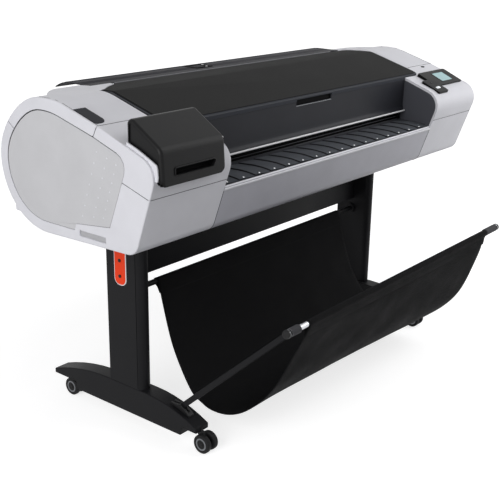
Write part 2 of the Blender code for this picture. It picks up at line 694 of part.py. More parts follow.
def build_roll_bay():
    """Roll cover, a visor over the bay, and the spindle that carries the paper roll."""
    middle = COVER_R - WALL / 2
    start = (LID_REAR + COVER_HINGE_GAP, COVER_TOP - WALL / 2 - COVER_HINGE_DROP)
    visor = [start] + arc((COVER_Y, COVER_TOP - COVER_R), middle, 90, math.degrees(COVER_END), 10)
    add("roll_cover", prism("X", band(visor, WALL), -COVER_HALF, COVER_HALF), "dark", (0.0, *start))

    centre = (ROLL_Y, ROLL_Z)
    spindle = rod("X", centre, SPINDLE_R, -SPINDLE_HUB_X, SPINDLE_HUB_X)
    for side in (-1, 1):
        hub = rod("X", centre, SPINDLE_HUB_R, SPINDLE_HUB_X - SPINDLE_HUB_T, SPINDLE_HUB_X)
        neck = rod("X", centre, JOURNAL_R, SPINDLE_HUB_X - SPINDLE_HUB_T / 2, PLATE_X + SHEET + JOURNAL_END)
        spindle = join(spindle, on_side(hub, side), on_side(neck, side))
    add("roll_spindle", spindle, "black", (0.0, *centre))


PINCH_Z = FEED_Z + FEED_R + PINCH_R + GAP


def build_side_plates():
    """Two steel plates on the base pan, which carry the rail, the rollers and the spindle."""
    seat = RAIL_Z[0] - GAP
    notch = JOURNAL_R + GAP
    shoulder = ROLL_Z + notch + SHEET / 2
    front = PAN_FRONT + SHEET + LIP_CLEAR
    rear = BACK_ARC_Y - SHEET - LIP_CLEAR
    stop = RAIL_Y[1] + HOOK_T + 2 * SHEET
    step = RAIL_Z[1] - 2 * SHEET
    inside = BACK_R - 2 * WALL
    low = [BACK_ARC_Y + inside * math.sin(math.radians(a)) for a in (35, 60)]
    level = [BACK_ARC[1] - inside * math.cos(math.radians(a)) for a in (35, 60)]
    outline = [(front, FLOOR), (rear, FLOOR), (rear, FLOOR + PAN_LIP + LIP_CLEAR), (low[0], level[0]),
               (low[1], level[1]), (low[1], BAY_FLOOR + LIP_CLEAR), (ROLL_Y + 2 * notch, ROLL_Z - 5 * notch),
               (ROLL_Y + 4 * notch, ROLL_Z), (ROLL_Y + 3 * notch, shoulder), (ROLL_Y + notch, shoulder)]
    outline += arc((ROLL_Y, ROLL_Z), notch / math.cos(math.pi / 16), 0, -180, 8)
    outline += [(ROLL_Y - notch, shoulder), (ROLL_Y - 4 * notch, shoulder), (BAY_FRONT, step), (stop, step),
                (stop, seat), (RAIL_Y[0], seat), (RAIL_Y[0], CARRIAGE_FLOOR - HOOK_DROP / 2),
                (front, CARRIAGE_FLOOR - HOOK_DROP)]
    for side, word in ((-1, "left"), (1, "right")):
        plate = cut(prism("X", outline, PLATE_X, PLATE_X + SHEET),
                    rod("X", (FEED_Y, FEED_Z), FEED_JOURNAL_R + GAP, 0, FAR),
                    rod("X", (FEED_Y, PINCH_Z), PINCH_JOURNAL_R + GAP, 0, FAR))
        add(word + "_side_plate", on_side(plate, side), "steel")


def build_feed():
    """Feed roller, pinch roller above it and the motor on the feed roller's end."""
    centre = (FEED_Y, FEED_Z)
    face = PLATE_X + SHEET + GAP
    shaft = FEED_MOTOR_L * 0.7
    roller = join(rod("X", centre, FEED_R, -FEED_HALF, FEED_HALF),
                  rod("X", centre, FEED_JOURNAL_R, -face - shaft, face + FEED_JOURNAL_R))
    add("feed_roller", roller, "rubber", (0.0, *centre))

    above = (FEED_Y, PINCH_Z)
    half = FEED_HALF - PINCH_SHORT
    pinch = join(rod("X", above, PINCH_R, -half, half, 20),
                 rod("X", above, PINCH_JOURNAL_R, -PLATE_X - SHEET, PLATE_X + SHEET, 20))
    add("pinch_roller", pinch, "rubber", (0.0, *above))

    motor = cut(rod("X", centre, FEED_MOTOR_R, -face - FEED_MOTOR_L, -face),
                rod("X", centre, FEED_JOURNAL_R + GAP, -face - shaft - GAP, 0))
    add("feed_motor", motor, "black")


def build_carriage():
    """Rail with its idler pin, print carriage, belt, pulleys and carriage motor."""
    pin_z = BELT_Z[1] + PIN_RISE
    shelf_l, shelf_t = IDLER_SHELF
    rail = prism("X", rectangle(RAIL_Y, RAIL_Z), -RAIL_HALF, RAIL_HALF)
    shelf = block((-RAIL_HALF, -RAIL_HALF + shelf_l), (RAIL_Y[1] - shelf_t / 2, PULLEY_Y + PULLEY_R),
                  (RAIL_Z[1] - shelf_t, RAIL_Z[1]))
    pin = rod("Z", (-PULLEY_X, PULLEY_Y), PULLEY_BORE, RAIL_Z[1] - shelf_t / 2, pin_z, 16)
    add("carriage_rail", join(rail, shelf, pin), "steel")

    front, rear = RAIL_Y[0] - GAP, RAIL_Y[1] + GAP
    hook = RAIL_Y[1] + HOOK_T
    top = RAIL_Z[1] + GAP
    clamp = PULLEY_Y - PULLEY_R - GAP - BELT_T - GAP
    outline = [(CARRIAGE_FRONT, CARRIAGE_FLOOR), (front, CARRIAGE_FLOOR), (front, top), (rear, top),
               (rear, RAIL_Z[1] - HOOK_DROP), (hook, RAIL_Z[1] - HOOK_DROP), (hook, BELT_Z[0]),
               (clamp, BELT_Z[0]), (clamp, BELT_Z[1]), (RAIL_Y[1], BELT_Z[1] + HOOK_T),
               (RAIL_Y[0], CARRIAGE_TOP), (CARRIAGE_FRONT, CARRIAGE_TOP)]
    half = CARRIAGE_L / 2
    carriage = prism("X", outline, CARRIAGE_X - half, CARRIAGE_X + half)
    for column in (-1, 0, 1):
        middle = CARRIAGE_X + column * CARRIAGE_L * 0.3
        head = block((middle - HEAD_W / 2, middle + HEAD_W / 2), (CARRIAGE_FRONT + HEAD_INSET, front - HEAD_INSET),
                     (CARRIAGE_FLOOR - HEAD_DROP, CARRIAGE_FLOOR + HEAD_DROP))
        carriage = join(carriage, head)
    add("carriage", carriage, "black", (CARRIAGE_X, 0.0, 0.0))

    hold = PULLEY_R + GAP
    loop = arc((PULLEY_X, PULLEY_Y), hold, -90, 90, 12) + arc((-PULLEY_X, PULLEY_Y), hold, 90, 270, 12)
    belt = cut(prism("Z", offset(loop, -BELT_T), *BELT_Z), prism("Z", loop, 0, FAR))
    add("carriage_belt", belt, "rubber")

    for side, word in ((1, "drive_pulley"), (-1, "idler_pulley")):
        centre = (side * PULLEY_X, PULLEY_Y)
        wheel = cut(rod("Z", centre, PULLEY_R * math.cos(math.pi / 24), *BELT_Z, 24),
                    rod("Z", centre, PULLEY_BORE + GAP, 0, FAR, 16))
        add(word, wheel, "steel", (*centre, 0.0))
    low = RAIL_Z[1] - MOTOR_SIDE
    case = block((PULLEY_X - MOTOR_SIDE / 2, PULLEY_X + MOTOR_SIDE / 2), (rear, rear + MOTOR_DEPTH),
                 (low, RAIL_Z[1]))
    shaft = rod("Z", (PULLEY_X, PULLEY_Y), PULLEY_BORE, RAIL_Z[1] - MOTOR_SIDE / 2, pin_z, 16)
    add("carriage_motor", join(case, shaft), "black")


def build_inside():
    """Cartridge rack, ink cartridges, service station, main board and power supply."""
    rack = block(RACK_X, RACK_Y, (RACK_TOP - RACK_T, RACK_TOP))
    for low in (RACK_X[0], RACK_X[1] - RACK_T):
        rack = join(rack, block((low, low + RACK_T), (RACK_LEG_Y, RACK_Y[1]), (FLOOR, RACK_TOP - RACK_T / 2)))
    add("cartridge_rack", rack, "black")

    base = RACK_TOP + GAP
    ink = block((RACK_X[0] + SHEET, RACK_X[1] - SHEET), (RACK_Y[0], CARTRIDGE_REAR), (base, base + CARTRIDGE_BASE))
    pitch = (RACK_X[1] - RACK_X[0]) / CARTRIDGES
    for i in range(CARTRIDGES):
        middle = RACK_X[0] + pitch * (i + 0.5)
        ink = join(ink, block((middle - CARTRIDGE_W / 2, middle + CARTRIDGE_W / 2),
                              (RACK_Y[0], CARTRIDGE_REAR - SHEET), (base + CARTRIDGE_BASE / 2, CARTRIDGE_TOP)))
    add("ink_cartridges", ink, "ink")

    station = block(STATION_X, STATION_Y, (FLOOR, STATION_TOP))
    basin = block((STATION_X[0] + STATION_WALL, STATION_X[1] - STATION_WALL),
                  (STATION_Y[0] + STATION_WALL, STATION_Y[1] - STATION_WALL), (STATION_TOP - STATION_BASIN, FAR))
    add("service_station", cut(station, basin), "black")

    board = block(BOARD_X, (BOARD_Y, BOARD_Y + BOARD_T), (FLOOR, FLOOR + BOARD_H))
    wide, proud, tall = CHIP_SIZE
    for i in range(CHIPS):
        left = BOARD_X[0] + wide + i * CHIP_PITCH
        board = join(board, block((left, left + wide), (BOARD_Y - proud, BOARD_Y + BOARD_T / 2),
                                  (FLOOR + wide, FLOOR + wide + tall)))
    add("main_board", board, "board")

    back = BACK_ARC[0] + math.sqrt(BACK_R ** 2 - (BACK_ARC[1] - INLET_Z[0]) ** 2)
    supply = block(SUPPLY_X, SUPPLY_Y, (FLOOR, FLOOR + SUPPLY_H))
    duct = block(INLET_X, (SUPPLY_Y[1] - OVER, back + INLET_REACH), INLET_Z)
    add("power_supply", join(supply, duct), "steel")


def build_controls():
    """Control panel on the right slope, with its display and two push buttons."""
    across = Vector((1, 0, 0))
    uphill = (Vector((0, *TOP_SEAM)) - Vector((0, *NOSE))).normalized()
    out = across.cross(uphill)
    lean = math.atan2(PANEL_LIFT[0] - PANEL_LIFT[1], PANEL_V[0] - TAB_V[1])
    along = uphill * math.cos(lean) + out * math.sin(lean)
    place = Matrix((across, along, across.cross(along))).transposed().to_4x4()
    place.translation = Vector((0, *TOP_SEAM)) + out * (PANEL_LIFT[0] - PANEL_V[0] * math.tan(lean))
    outer, inner = PANEL_R, PANEL_INNER_R
    outline = rounded([(PANEL_X[0], PANEL_V[0], outer), (PANEL_X[0], TAB_V[0], inner), (TAB_X[0], TAB_V[0], outer),
                       (TAB_X[0], TAB_V[1], outer), (TAB_X[1], TAB_V[1], outer), (TAB_X[1], PANEL_V[1], inner),
                       (PANEL_X[1], PANEL_V[1], outer), (PANEL_X[1], PANEL_V[0], outer)], steps=3)
    pocket = rectangle(DISPLAY_X, DISPLAY_V)
    plate = cut(prism("Z", outline, -PANEL_ROOT, 0.0),
                prism("Z", offset(pocket, -GAP), -DISPLAY_DEPTH - GAP, OVER))
    screen = prism("Z", pocket, -DISPLAY_DEPTH, 0.0)
    keys = []
    for name, (u, v), (w, h) in (("power_button", POWER_AT, POWER_SIZE), ("menu_button", MENU_AT, MENU_SIZE)):
        face = rounded([(*corner, BUTTON_R) for corner in rectangle((u - w / 2, u + w / 2), (v - h / 2, v + h / 2))])
        plate = cut(plate, prism("Z", offset(face, -GAP), -PANEL_ROOT - OVER, OVER))
        keys.append((name, prism("Z", face, BUTTON_PROUD - BUTTON_T, BUTTON_PROUD), place @ Vector((u, v, 0))))
    for solid in [plate, screen] + [key[1] for key in keys]:
        bmesh.ops.transform(solid, matrix=place, verts=solid.verts)
    add("control_panel", cut(plate, prism("X", offset(end_outline(), -GAP), MIDDLE_HALF, FAR)), "black")
    add("display_screen", screen, "screen")
    for (name, solid, pivot), finish in zip(keys, ("lit", "black")):
        add(name, solid, finish, pivot)


def foot_top(y):
    """Height of a foot's top at a depth, level between its two arched ends."""
    reach = FOOT_FLAT[0] - TOE_Y if y < FOOT_FLAT[0] else HEEL_Y - FOOT_FLAT[1]
    over = max(FOOT_FLAT[0] - y, y - FOOT_FLAT[1], 0.0)
    return FOOT_TOP - (FOOT_TOP - TOE_TOP) * (over / reach) ** 2


def foot_outline():
    """Side view of a foot: arched top, raised underside over each caster."""
    steps = 6
    front = [TOE_Y + (FOOT_FLAT[0] - TOE_Y) * i / steps for i in range(steps + 1)]
    back = [FOOT_FLAT[1] + (HEEL_Y - FOOT_FLAT[1]) * i / steps for i in range(steps + 1)]
    top = [(y, foot_top(y)) for y in front + back]
    front_well = CASTER_Y[0] + CASTER_CLEAR
    back_well = CASTER_Y[1] - CASTER_CLEAR
    under = [(HEEL_Y, CASTER_UNDER), (back_well, CASTER_UNDER), (back_well - WELL_SLOPE, FOOT_UNDER),
             (front_well + WELL_SLOPE, FOOT_UNDER), (front_well, CASTER_UNDER), (TOE_Y, CASTER_UNDER)]
    return top + under


def build_stand():
    """Feet, posts, cross beam and casters."""
    inner_x = POST_OUT - FOOT_W
    middle_x = POST_OUT - FOOT_W / 2
    front = CASTER_Y[0] + CASTER_CLEAR + FOOT_END
    back = CASTER_Y[1] - CASTER_CLEAR - FOOT_END
    roof = FOOT_TOP - FOOT_WALL
    channel = [(front, 0.0), (back, 0.0), (back, CASTER_UNDER + CHANNEL_RISE), (FOOT_FLAT[1], roof),
               (FOOT_FLAT[0], roof), (front, CASTER_UNDER + CHANNEL_RISE)]
    r = POST_W / 2
    column = arc((POST_OUT - r, -POST_HALF_D), r, 180, 360, 14)
    column += [(POST_OUT, POST_HALF_D), (POST_OUT - POST_W, POST_HALF_D)]
    for side, word in ((-1, "left"), (1, "right")):
        foot = cut(prism("X", foot_outline(), inner_x, POST_OUT),
                   prism("X", channel, inner_x + FOOT_WALL, POST_OUT - FOOT_WALL))
        for y in CASTER_Y:
            foot = cut(foot, rod("Z", (middle_x, y), STEM_R + GAP, 0, CASTER_UNDER + STEM_H + GAP, 16))
        add(word + "_foot", on_side(foot, side), "stand")
        post = cut(prism("Z", column, FOOT_TOP + GAP, BODY_BOTTOM - GAP), prism("Z", offset(column, POST_WALL), 0, FAR))
        add(word + "_post", on_side(post, side), "stand")
        for y, end in zip(CASTER_Y, ("front", "rear")):
            build_caster(side, y, middle_x, word + "_" + end)

    half = POST_OUT - POST_W - GAP
    tube = rectangle(BEAM_Y, BEAM_Z)
    add("cross_beam", cut(prism("X", tube, -half, half), prism("X", offset(tube, POST_WALL), -FAR, FAR)), "stand")


def build_caster(side, y, x, name):
    """Swivelling fork with its stem, and a pair of wheels on one axle."""
    axle = (y - TRAIL, WHEEL_R)
    top = CASTER_UNDER - GAP
    rear = y + STEM_R + WELL_SLOPE / 3
    outline = arc(axle, FORK_HUB_R, 100, 330, 9) + [(rear, top - FORK_W), (rear, top), (y - FORK_NECK, top)]
    fork = prism("X", outline, x - FORK_W / 2, x + FORK_W / 2)
    fork = join(fork, rod("Z", (x, y), STEM_R, top - STEM_R, CASTER_UNDER + STEM_H, 16))
    fork = cut(fork, rod("X", axle, AXLE_R + GAP, 0, FAR, 16))
    add(name + "_caster_fork", on_side(fork, side), "black", (side * x, y, 0.0))

    inner = FORK_W / 2 + GAP
    pair = rod("X", axle, AXLE_R, x - inner - AXLE_R / 2, x + inner + AXLE_R / 2, 16)
    for way in (-1, 1):
        edges = sorted((x + way * inner, x + way * (inner + WHEEL_W)))
        pair = join(pair, rod("X", axle, WHEEL_R, *edges, 24))
    add(name + "_caster_wheels", on_side(pair, side), "tyre", (side * x, *axle))


def cloth_half(y):
    """Half width of the bin's cloth at a depth: it widens towards the front rod."""
    share = (y - BACK_ROD[0]) / (FRONT_ROD[0] - BACK_ROD[0])
    return CLOTH_BACK_HALF + (CLOTH_FRONT_HALF - CLOTH_BACK_HALF) * share


def cloth_sheet(path):
    """Cloth of even thickness along a path in side view."""
    outline = band(path, CLOTH_T)
    count = len(path)
    halves = [cloth_half(y) for y, z in path + path[::-1]]
    solid = bmesh.new()
    left = [solid.verts.new((-h, y, z)) for (y, z), h in zip(outline, halves)]
    right = [solid.verts.new((h, y, z)) for (y, z), h in zip(outline, halves)]
    for i in range(2 * count):
        k = (i + 1) % (2 * count)
        solid.faces.new((left[i], left[k], right[k], right[i]))
    for i in range(count - 1):
        around = (i, i + 1, 2 * count - 2 - i, 2 * count - 1 - i)
        solid.faces.new([left[j] for j in around])
        solid.faces.new([right[j] for j in reversed(around)])
    bmesh.ops.recalc_face_normals(solid, faces=solid.faces)
    return solid


def hem(rod_at, radius, start, end):
    """Side view of the cloth where it wraps a rod, clear of its facets."""
    hold = radius / math.cos(math.pi / 20) + GAP + CLOTH_T / 2
    return arc(rod_at, hold, start, end, 10)


def clip_outline():
    """Side view of a bin clip, with its underside on the curve of the foot."""
    low = ARM_PIVOT[0] - CLIP_L / 2
    under = [(low + CLIP_L * i / 6, foot_top(low + CLIP_L * i / 6) + CLIP_SEAT) for i in range(7)]
    first, last = under[0], under[-1]
    return under + [(last[0], last[1] + CLIP_SHOULDER)] + arc(ARM_PIVOT, ARM_W / 2, 40, 140, 5) + \
        [(first[0], first[1] + CLIP_SHOULDER)]


def build_bin():
    """Rear rod, clips on the feet, arms, front rod and the cloth hung between the rods."""
    reach = POST_OUT - POST_W - GAP
    back = rod("X", BACK_ROD, BACK_ROD_R, -reach, reach, 20)
    for side in (-1, 1):
        back = join(back, on_side(rod("X", BACK_ROD, ROD_FLANGE_R, reach - ROD_FLANGE_T, reach), side))
    add("back_bin_rod", back, "stand")

    arm_x = (ARM_X - ARM_T / 2, ARM_X + ARM_T / 2)
    slot_x = (arm_x[0] - GAP, arm_x[1] + GAP)
    line = Vector(FRONT_ROD) - Vector(ARM_PIVOT)
    angle = math.degrees(math.atan2(line.y, line.x))
    outline = arc(ARM_PIVOT, ARM_W / 2, angle + 90, angle + 270, 8)
    outline += arc(FRONT_ROD, ARM_W / 2, angle - 90, angle + 90, 8)
    for side, word in ((-1, "left"), (1, "right")):
        arm = cut(prism("X", outline, *arm_x), rod("X", ARM_PIVOT, PIN_R + GAP, 0, FAR, 16),
                  rod("X", FRONT_ROD, FRONT_ROD_R + GAP, 0, FAR, 20))
        add(word + "_bin_arm", on_side(arm, side), "stand", (side * ARM_X, *ARM_PIVOT))
        clip = cut(prism("X", clip_outline(), slot_x[0] - CLIP_EAR, slot_x[1] + CLIP_EAR),
                   block(slot_x, (-FAR, FAR), (ARM_PIVOT[1] - ARM_W / 2 - SLOT_CLEAR, FAR)))
        clip = join(clip, rod("X", ARM_PIVOT, PIN_R, slot_x[0] - PIN_HOLD, slot_x[1] + PIN_HOLD, 16))
        add(word + "_bin_clip", on_side(clip, side), "black")

    end = arm_x[1] + ROD_END
    front = rod("X", FRONT_ROD, FRONT_ROD_R, -end, end, 20)
    for side in (-1, 1):
        sleeve = rod("X", FRONT_ROD, FRONT_CAP_R, FRONT_CAP_X, slot_x[0], 20)
        nut = rod("X", FRONT_ROD, FRONT_CAP_R, slot_x[1], end + NUT_T, 20)
        front = join(front, on_side(sleeve, side), on_side(nut, side))
    add("front_bin_rod", front, "rod", (0.0, *ARM_PIVOT))

    wrap = hem(BACK_ROD, BACK_ROD_R, -40, 190)
    add("bin_cloth_rear", cloth_sheet(wrap + eased([wrap[-1], *CLOTH_SAG])[1:]), "cloth")
    wrap = hem(FRONT_ROD, FRONT_ROD_R, -20, 220)
    add("bin_cloth_front", cloth_sheet(eased([*CLOTH_RISE, wrap[0]])[:-1] + wrap), "cloth", (0.0, *ARM_PIVOT))


def main():
    """Build the whole plotter."""
    clear_scene()
    stand = bpy.data.objects.new("plotter", None)
    stand.location = (0.0, STAND_Y, 0.0)
    bpy.context.scene.collection.objects.link(stand)
    for side in (-1, 1):
        build_end(side)
    build_middle()
    build_lid()
    build_ink_cover()
    build_roll_bay()
    build_side_plates()
    build_feed()
    build_carriage()
    build_inside()
    build_controls()
    build_stand()
    build_bin()


main()
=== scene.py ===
"""Looks of a large format plotter on a wheeled stand with a cloth catch bin.

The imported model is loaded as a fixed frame. Each class dresses one sub-assembly: it rounds the edges of the
model's own solids, adds the pieces that only matter to the eye, and gives every one a finish. Metres, Z up,
front towards -Y; depths are measured from the middle of the posts and moved to the model's frame by at().
"""
from __future__ import annotations

import json
import logging
import math
from dataclasses import dataclass, field
from enum import Enum
from typing import Callable, Sequence

import bmesh
import bpy
from mathutils import Matrix, Vector, noise

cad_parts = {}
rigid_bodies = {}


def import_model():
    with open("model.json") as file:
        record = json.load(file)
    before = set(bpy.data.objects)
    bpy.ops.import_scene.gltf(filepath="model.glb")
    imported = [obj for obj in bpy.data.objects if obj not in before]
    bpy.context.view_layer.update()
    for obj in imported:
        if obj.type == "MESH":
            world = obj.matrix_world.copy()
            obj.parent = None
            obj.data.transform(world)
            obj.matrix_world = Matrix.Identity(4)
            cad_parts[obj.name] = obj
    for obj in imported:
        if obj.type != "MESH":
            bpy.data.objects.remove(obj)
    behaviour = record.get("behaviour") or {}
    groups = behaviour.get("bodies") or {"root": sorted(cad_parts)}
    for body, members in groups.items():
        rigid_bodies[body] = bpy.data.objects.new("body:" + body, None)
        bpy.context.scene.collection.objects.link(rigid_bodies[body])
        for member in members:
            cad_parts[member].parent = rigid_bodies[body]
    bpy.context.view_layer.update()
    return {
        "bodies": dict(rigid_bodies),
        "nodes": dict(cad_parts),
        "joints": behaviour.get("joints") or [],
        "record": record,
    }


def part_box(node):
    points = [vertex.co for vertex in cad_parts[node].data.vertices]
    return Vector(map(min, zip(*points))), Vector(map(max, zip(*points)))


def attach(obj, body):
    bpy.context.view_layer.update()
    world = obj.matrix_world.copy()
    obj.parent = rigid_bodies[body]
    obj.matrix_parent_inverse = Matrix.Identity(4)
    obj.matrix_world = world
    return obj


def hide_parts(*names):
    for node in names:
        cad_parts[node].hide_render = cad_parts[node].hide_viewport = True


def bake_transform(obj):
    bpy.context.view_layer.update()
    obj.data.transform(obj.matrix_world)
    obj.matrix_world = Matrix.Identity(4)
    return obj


LOG = logging.getLogger("plotter")
Point = tuple[float, float]
Spot = tuple[float, float, float]
Line = Sequence[Point]
Solid = bmesh.types.BMesh
Edge = bmesh.types.BMEdge
Tree = bpy.types.NodeTree
Socket = bpy.types.NodeSocket
Piece = bpy.types.Object
EdgeTest = Callable[[Edge], bool]
STAND_Y = 0.13725           # middle of the posts in the model's frame
HALF_WIDTH = 0.885
BODY_TOP = 1.050
BODY_BOTTOM = 0.6695
WALL = 0.003
TOP_SEAM = (-0.170, 1.0015)     # where the brow of an end meets its front slope
NOSE = (-0.384, 0.9235)         # where that slope would meet the front
SHARP = 38.0                    # degrees above which an edge is shaded sharp
SOFT_EDGE = 0.0007              # rounding of an edge that no rule names
FINE = 0.0001                   # rounding of a thin dark line
CLOSE = 0.0001                  # places as near as this are one
SPARE = 0.01                    # how far a cutting tool reaches past what it cuts
MITRE = 0.3                     # least divisor at a sharp corner of an outline that is moved
RIM_TURNS = (0.0, 0.52, 1.05, math.pi / 2)      # angles round the rim of a bar
UNTURNED = (0.0, 0.0, 0.0)
ALONG_X = (0.0, math.pi / 2, 0.0)


class Axis(Enum):
    """Direction in which an outline is drawn out."""

    X = (1, 2, 0)
    Y = (0, 2, 1)
    Z = (0, 1, 2)


class Side(Enum):
    """Left or right of the machine, with the sign of X there."""

    LEFT = -1
    RIGHT = 1

    @property
    def word(self) -> str:
        """Start of the names of the pieces on this side."""
        return self.name.lower()


class Cut(Enum):
    """What a boolean keeps of a solid: what is outside the tool, or what is inside it."""

    AWAY = "DIFFERENCE"
    COMMON = "INTERSECT"


class Grain(Enum):
    """Surface structure of a finish."""

    MOULDED = "moulded_grain"
    POWDER = "powder_coat"
    BRUSHED = "brushed_streaks"
    WOVEN = "woven_cloth"
    SMUDGED = "smudged_gloss"


class Repeat(Enum):
    """What a repeating piece is made of."""

    DOMES = "dome_grid"
    BARS = "bar_rows"
    STITCHES = "stitch_run"


@dataclass(frozen=True)
class Finish:
    """Colour and surface of one material.

    The colour is as it looks on a screen, 0 to 255; grain is counted per metre; drift is how far colour and
    roughness wander over the surface.
    """

    name: str
    slot: str
    colour: tuple[int, int, int]
    roughness: float
    structure: Grain = Grain.MOULDED
    grain: float = 1400.0
    depth: float = 0.10
    drift: float = 0.05
    metallic: float = 0.0
    coat: float = 0.0
    glow: float = 0.0
    specular: float = 0.16


SHELL = Finish("pale_cover", "shell", (222, 222, 228), 0.42)
PANEL = Finish("side_panel_grey", "panel", (202, 202, 205), 0.5, depth=0.14)
# Panel grey darkened as painted shade on the floor of the grip pocket.
POCKET_SHADE = Finish("grip_pocket_grey", "panel", (176, 176, 179), 0.5)
FASCIA = Finish("fascia_grey", "fascia", (184, 184, 192), 0.38, grain=900.0, drift=0.07)
# Pale trim on the fascia's top edge, lighter than the fascia partly as painted highlight.
TRIM_AND_HIGHLIGHT = Finish("fascia_trim", "fascia", (226, 226, 231), 0.34, grain=900.0)
LID_MATTE = Finish("lid_matte", "matte", (50, 50, 50), 0.72, grain=2200.0, depth=0.22, specular=0.03)
LID_FRAME = Finish("lid_frame", "dark", (52, 54, 60), 0.5, depth=0.12, specular=0.06)
WINDOW = Finish("smoked_window", "dark", (42, 43, 48), 0.34, Grain.SMUDGED, grain=40.0, depth=0.0, drift=0.15,
                specular=0.08)
# Near-white bar along the window's foot: painted highlight where the curved window catches the light.
LIP_HIGHLIGHT = Finish("window_lip", "alloy", (240, 240, 243), 0.22, grain=900.0, depth=0.04, drift=0.04)
PLATEN = Finish("platen_slate", "dark", (114, 118, 125), 0.46, drift=0.08)
CHEEK = Finish("cheek_grey", "dark", (74, 75, 81), 0.5)
# Dark grey of real joints, partings and rod sleeves, also used as painted shadow under the platen segments.
JOINT_AND_SHADOW = Finish("joint_dark", "black", (60, 60, 63), 0.7)
PLAQUE = Finish("plaque_slate", "black", (46, 47, 52), 0.5, specular=0.05)
# Near-black: painted shade inside the paper exit, the lid's grip pocket, the finger slot and the vents; also
# the real black of the latch, the post grooves and fine dark lines.
BLACK_AND_SHADE = Finish("cavity_black", "black", (14, 14, 15), 0.7, specular=0.03)
INK_BLACK = Finish("ink_cover_satin", "black", (22, 22, 23), 0.35, grain=1800.0, depth=0.12, drift=0.08,
                   specular=0.13)
BLACK = Finish("moulded_black", "black", (30, 30, 31), 0.45, drift=0.08)
PANEL_BLACK = Finish("panel_black", "black", (15, 15, 16), 0.34, Grain.SMUDGED, grain=60.0, depth=0.0,
                     drift=0.2, specular=0.06)
ROLL_DARK = Finish("roll_cover_charcoal", "dark", (50, 50, 54), 0.55, drift=0.08, specular=0.05)
STAND = Finish("stand_powder_coat", "stand", (25, 25, 27), 0.48, Grain.POWDER, grain=900.0, depth=0.35,
               drift=0.10, specular=0.09)
WHEEL = Finish("caster_tread", "wheel", (26, 26, 27), 0.62, drift=0.12)
HUB = Finish("caster_ring", "alloy", (128, 130, 134), 0.38, Grain.BRUSHED, grain=240.0, depth=0.06, drift=0.1,
             metallic=0.4)
STEEL = Finish("zinc_steel", "steel", (168, 170, 174), 0.36, Grain.BRUSHED, grain=220.0, depth=0.08,
               drift=0.10, metallic=0.9)
ALLOY = Finish("drawn_alloy", "alloy", (208, 210, 214), 0.26, Grain.BRUSHED, grain=260.0, depth=0.05,
               drift=0.06, metallic=0.85)
SLEEVE = Finish("rod_sleeve_grey", "black", (92, 93, 97), 0.42)
RUBBER = Finish("roller_rubber", "rubber", (44, 44, 46), 0.75, Grain.POWDER, grain=1600.0, depth=0.3,
                drift=0.1)
CLOTH = Finish("bin_cloth_black", "cloth", (25, 25, 26), 0.88, Grain.WOVEN, grain=620.0, depth=0.55,
               drift=0.22, specular=0.03)
THREAD = Finish("hem_thread", "cloth", (40, 40, 43), 0.7, grain=2400.0, depth=0.3, drift=0.1)
SCREEN = Finish("display_glass", "screen", (150, 184, 188), 0.14, Grain.SMUDGED, grain=30.0, depth=0.0,
                drift=0.10, coat=0.1, glow=0.2)
LIT = Finish("lit_key", "lit", (232, 236, 240), 0.3, grain=900.0, depth=0.03, drift=0.03, glow=0.35)
RED = Finish("lock_plate_red", "black", (246, 66, 24), 0.36, drift=0.05)
# White dots that glow as painted light, so that they stay bright in the shade of the exit.
DOT_GLOW = Finish("platen_dot_white", "shell", (244, 244, 246), 0.4, glow=0.35)
WHITE = Finish("white_print", "shell", (238, 238, 240), 0.45)
BOARD = Finish("circuit_board", "board", (24, 96, 52), 0.45, Grain.SMUDGED, grain=220.0, depth=0.0, drift=0.3)
INK_BODY = Finish("cartridge_body", "ink", (58, 66, 86), 0.4, drift=0.1)


def at(x: float, y: float, z: float) -> Vector:
    """A spot whose depth is measured from the middle of the posts, in the model's frame."""
    return Vector((x, y + STAND_Y, z))


def clamped(share: float) -> float:
    """The share, held between 0 and 1."""
    return min(max(share, 0.0), 1.0)


def linear(colour: Sequence[int], gain: float = 1.0) -> tuple[float, float, float, float]:
    """A screen colour as the linear colour that a shader takes.

    Args:
        colour: Red, green and blue from 0 to 255.
        gain: Factor on the linear value.

    Returns:
        Linear red, green, blue and an alpha of one.
    """
    values = [c / 255 for c in colour]
    flat = [v / 12.92 if v <= 0.04045 else ((v + 0.055) / 1.055) ** 2.4 for v in values]
    return (*[min(v * gain, 1.0) for v in flat], 1.0)


def arc(centre: Point, radius: float, start: float, end: float, steps: int) -> list[Point]:
    """Points on a circle between two angles in degrees, ends included."""
    turn = [math.radians(start + (end - start) * i / steps) for i in range(steps + 1)]
    return [(centre[0] + radius * math.cos(a), centre[1] + radius * math.sin(a)) for a in turn]


def rounded(corners: Sequence[Spot], steps: int = 5) -> list[Point]:
    """Outline of corners, each rounded by its own radius.

    Args:
        corners: Two coordinates and a radius for each corner.
        steps: Straight pieces in each rounding.

    Returns:
        The points of the outline.
    """
    points: list[Point] = []
    for i, (a, b, radius) in enumerate(corners):
        here = Vector((a, b))
        if radius <= 0:
            points.append((a, b))
            continue
        back = (Vector(corners[i - 1][:2]) - here).normalized()
        ahead = (Vector(corners[(i + 1) % len(corners)][:2]) - here).normalized()
        half = back.angle(ahead) / 2
        middle = here + (back + ahead).normalized() * radius / math.sin(half)
        first = here + back * radius / math.tan(half) - middle
        last = here + ahead * radius / math.tan(half) - middle
        turn = first.angle_signed(last)
        for k in range(steps + 1):
            points.append(tuple(middle + Matrix.Rotation(-turn * k / steps, 2) @ first))
    return points


def plate(first: Point, second: Point, radius: float) -> list[Point]:
    """Outline of a rectangle from its two ranges, with rounded corners."""
    (a, b), (c, d) = first, second
    return rounded([(a, c, radius), (b, c, radius), (b, d, radius), (a, d, radius)])


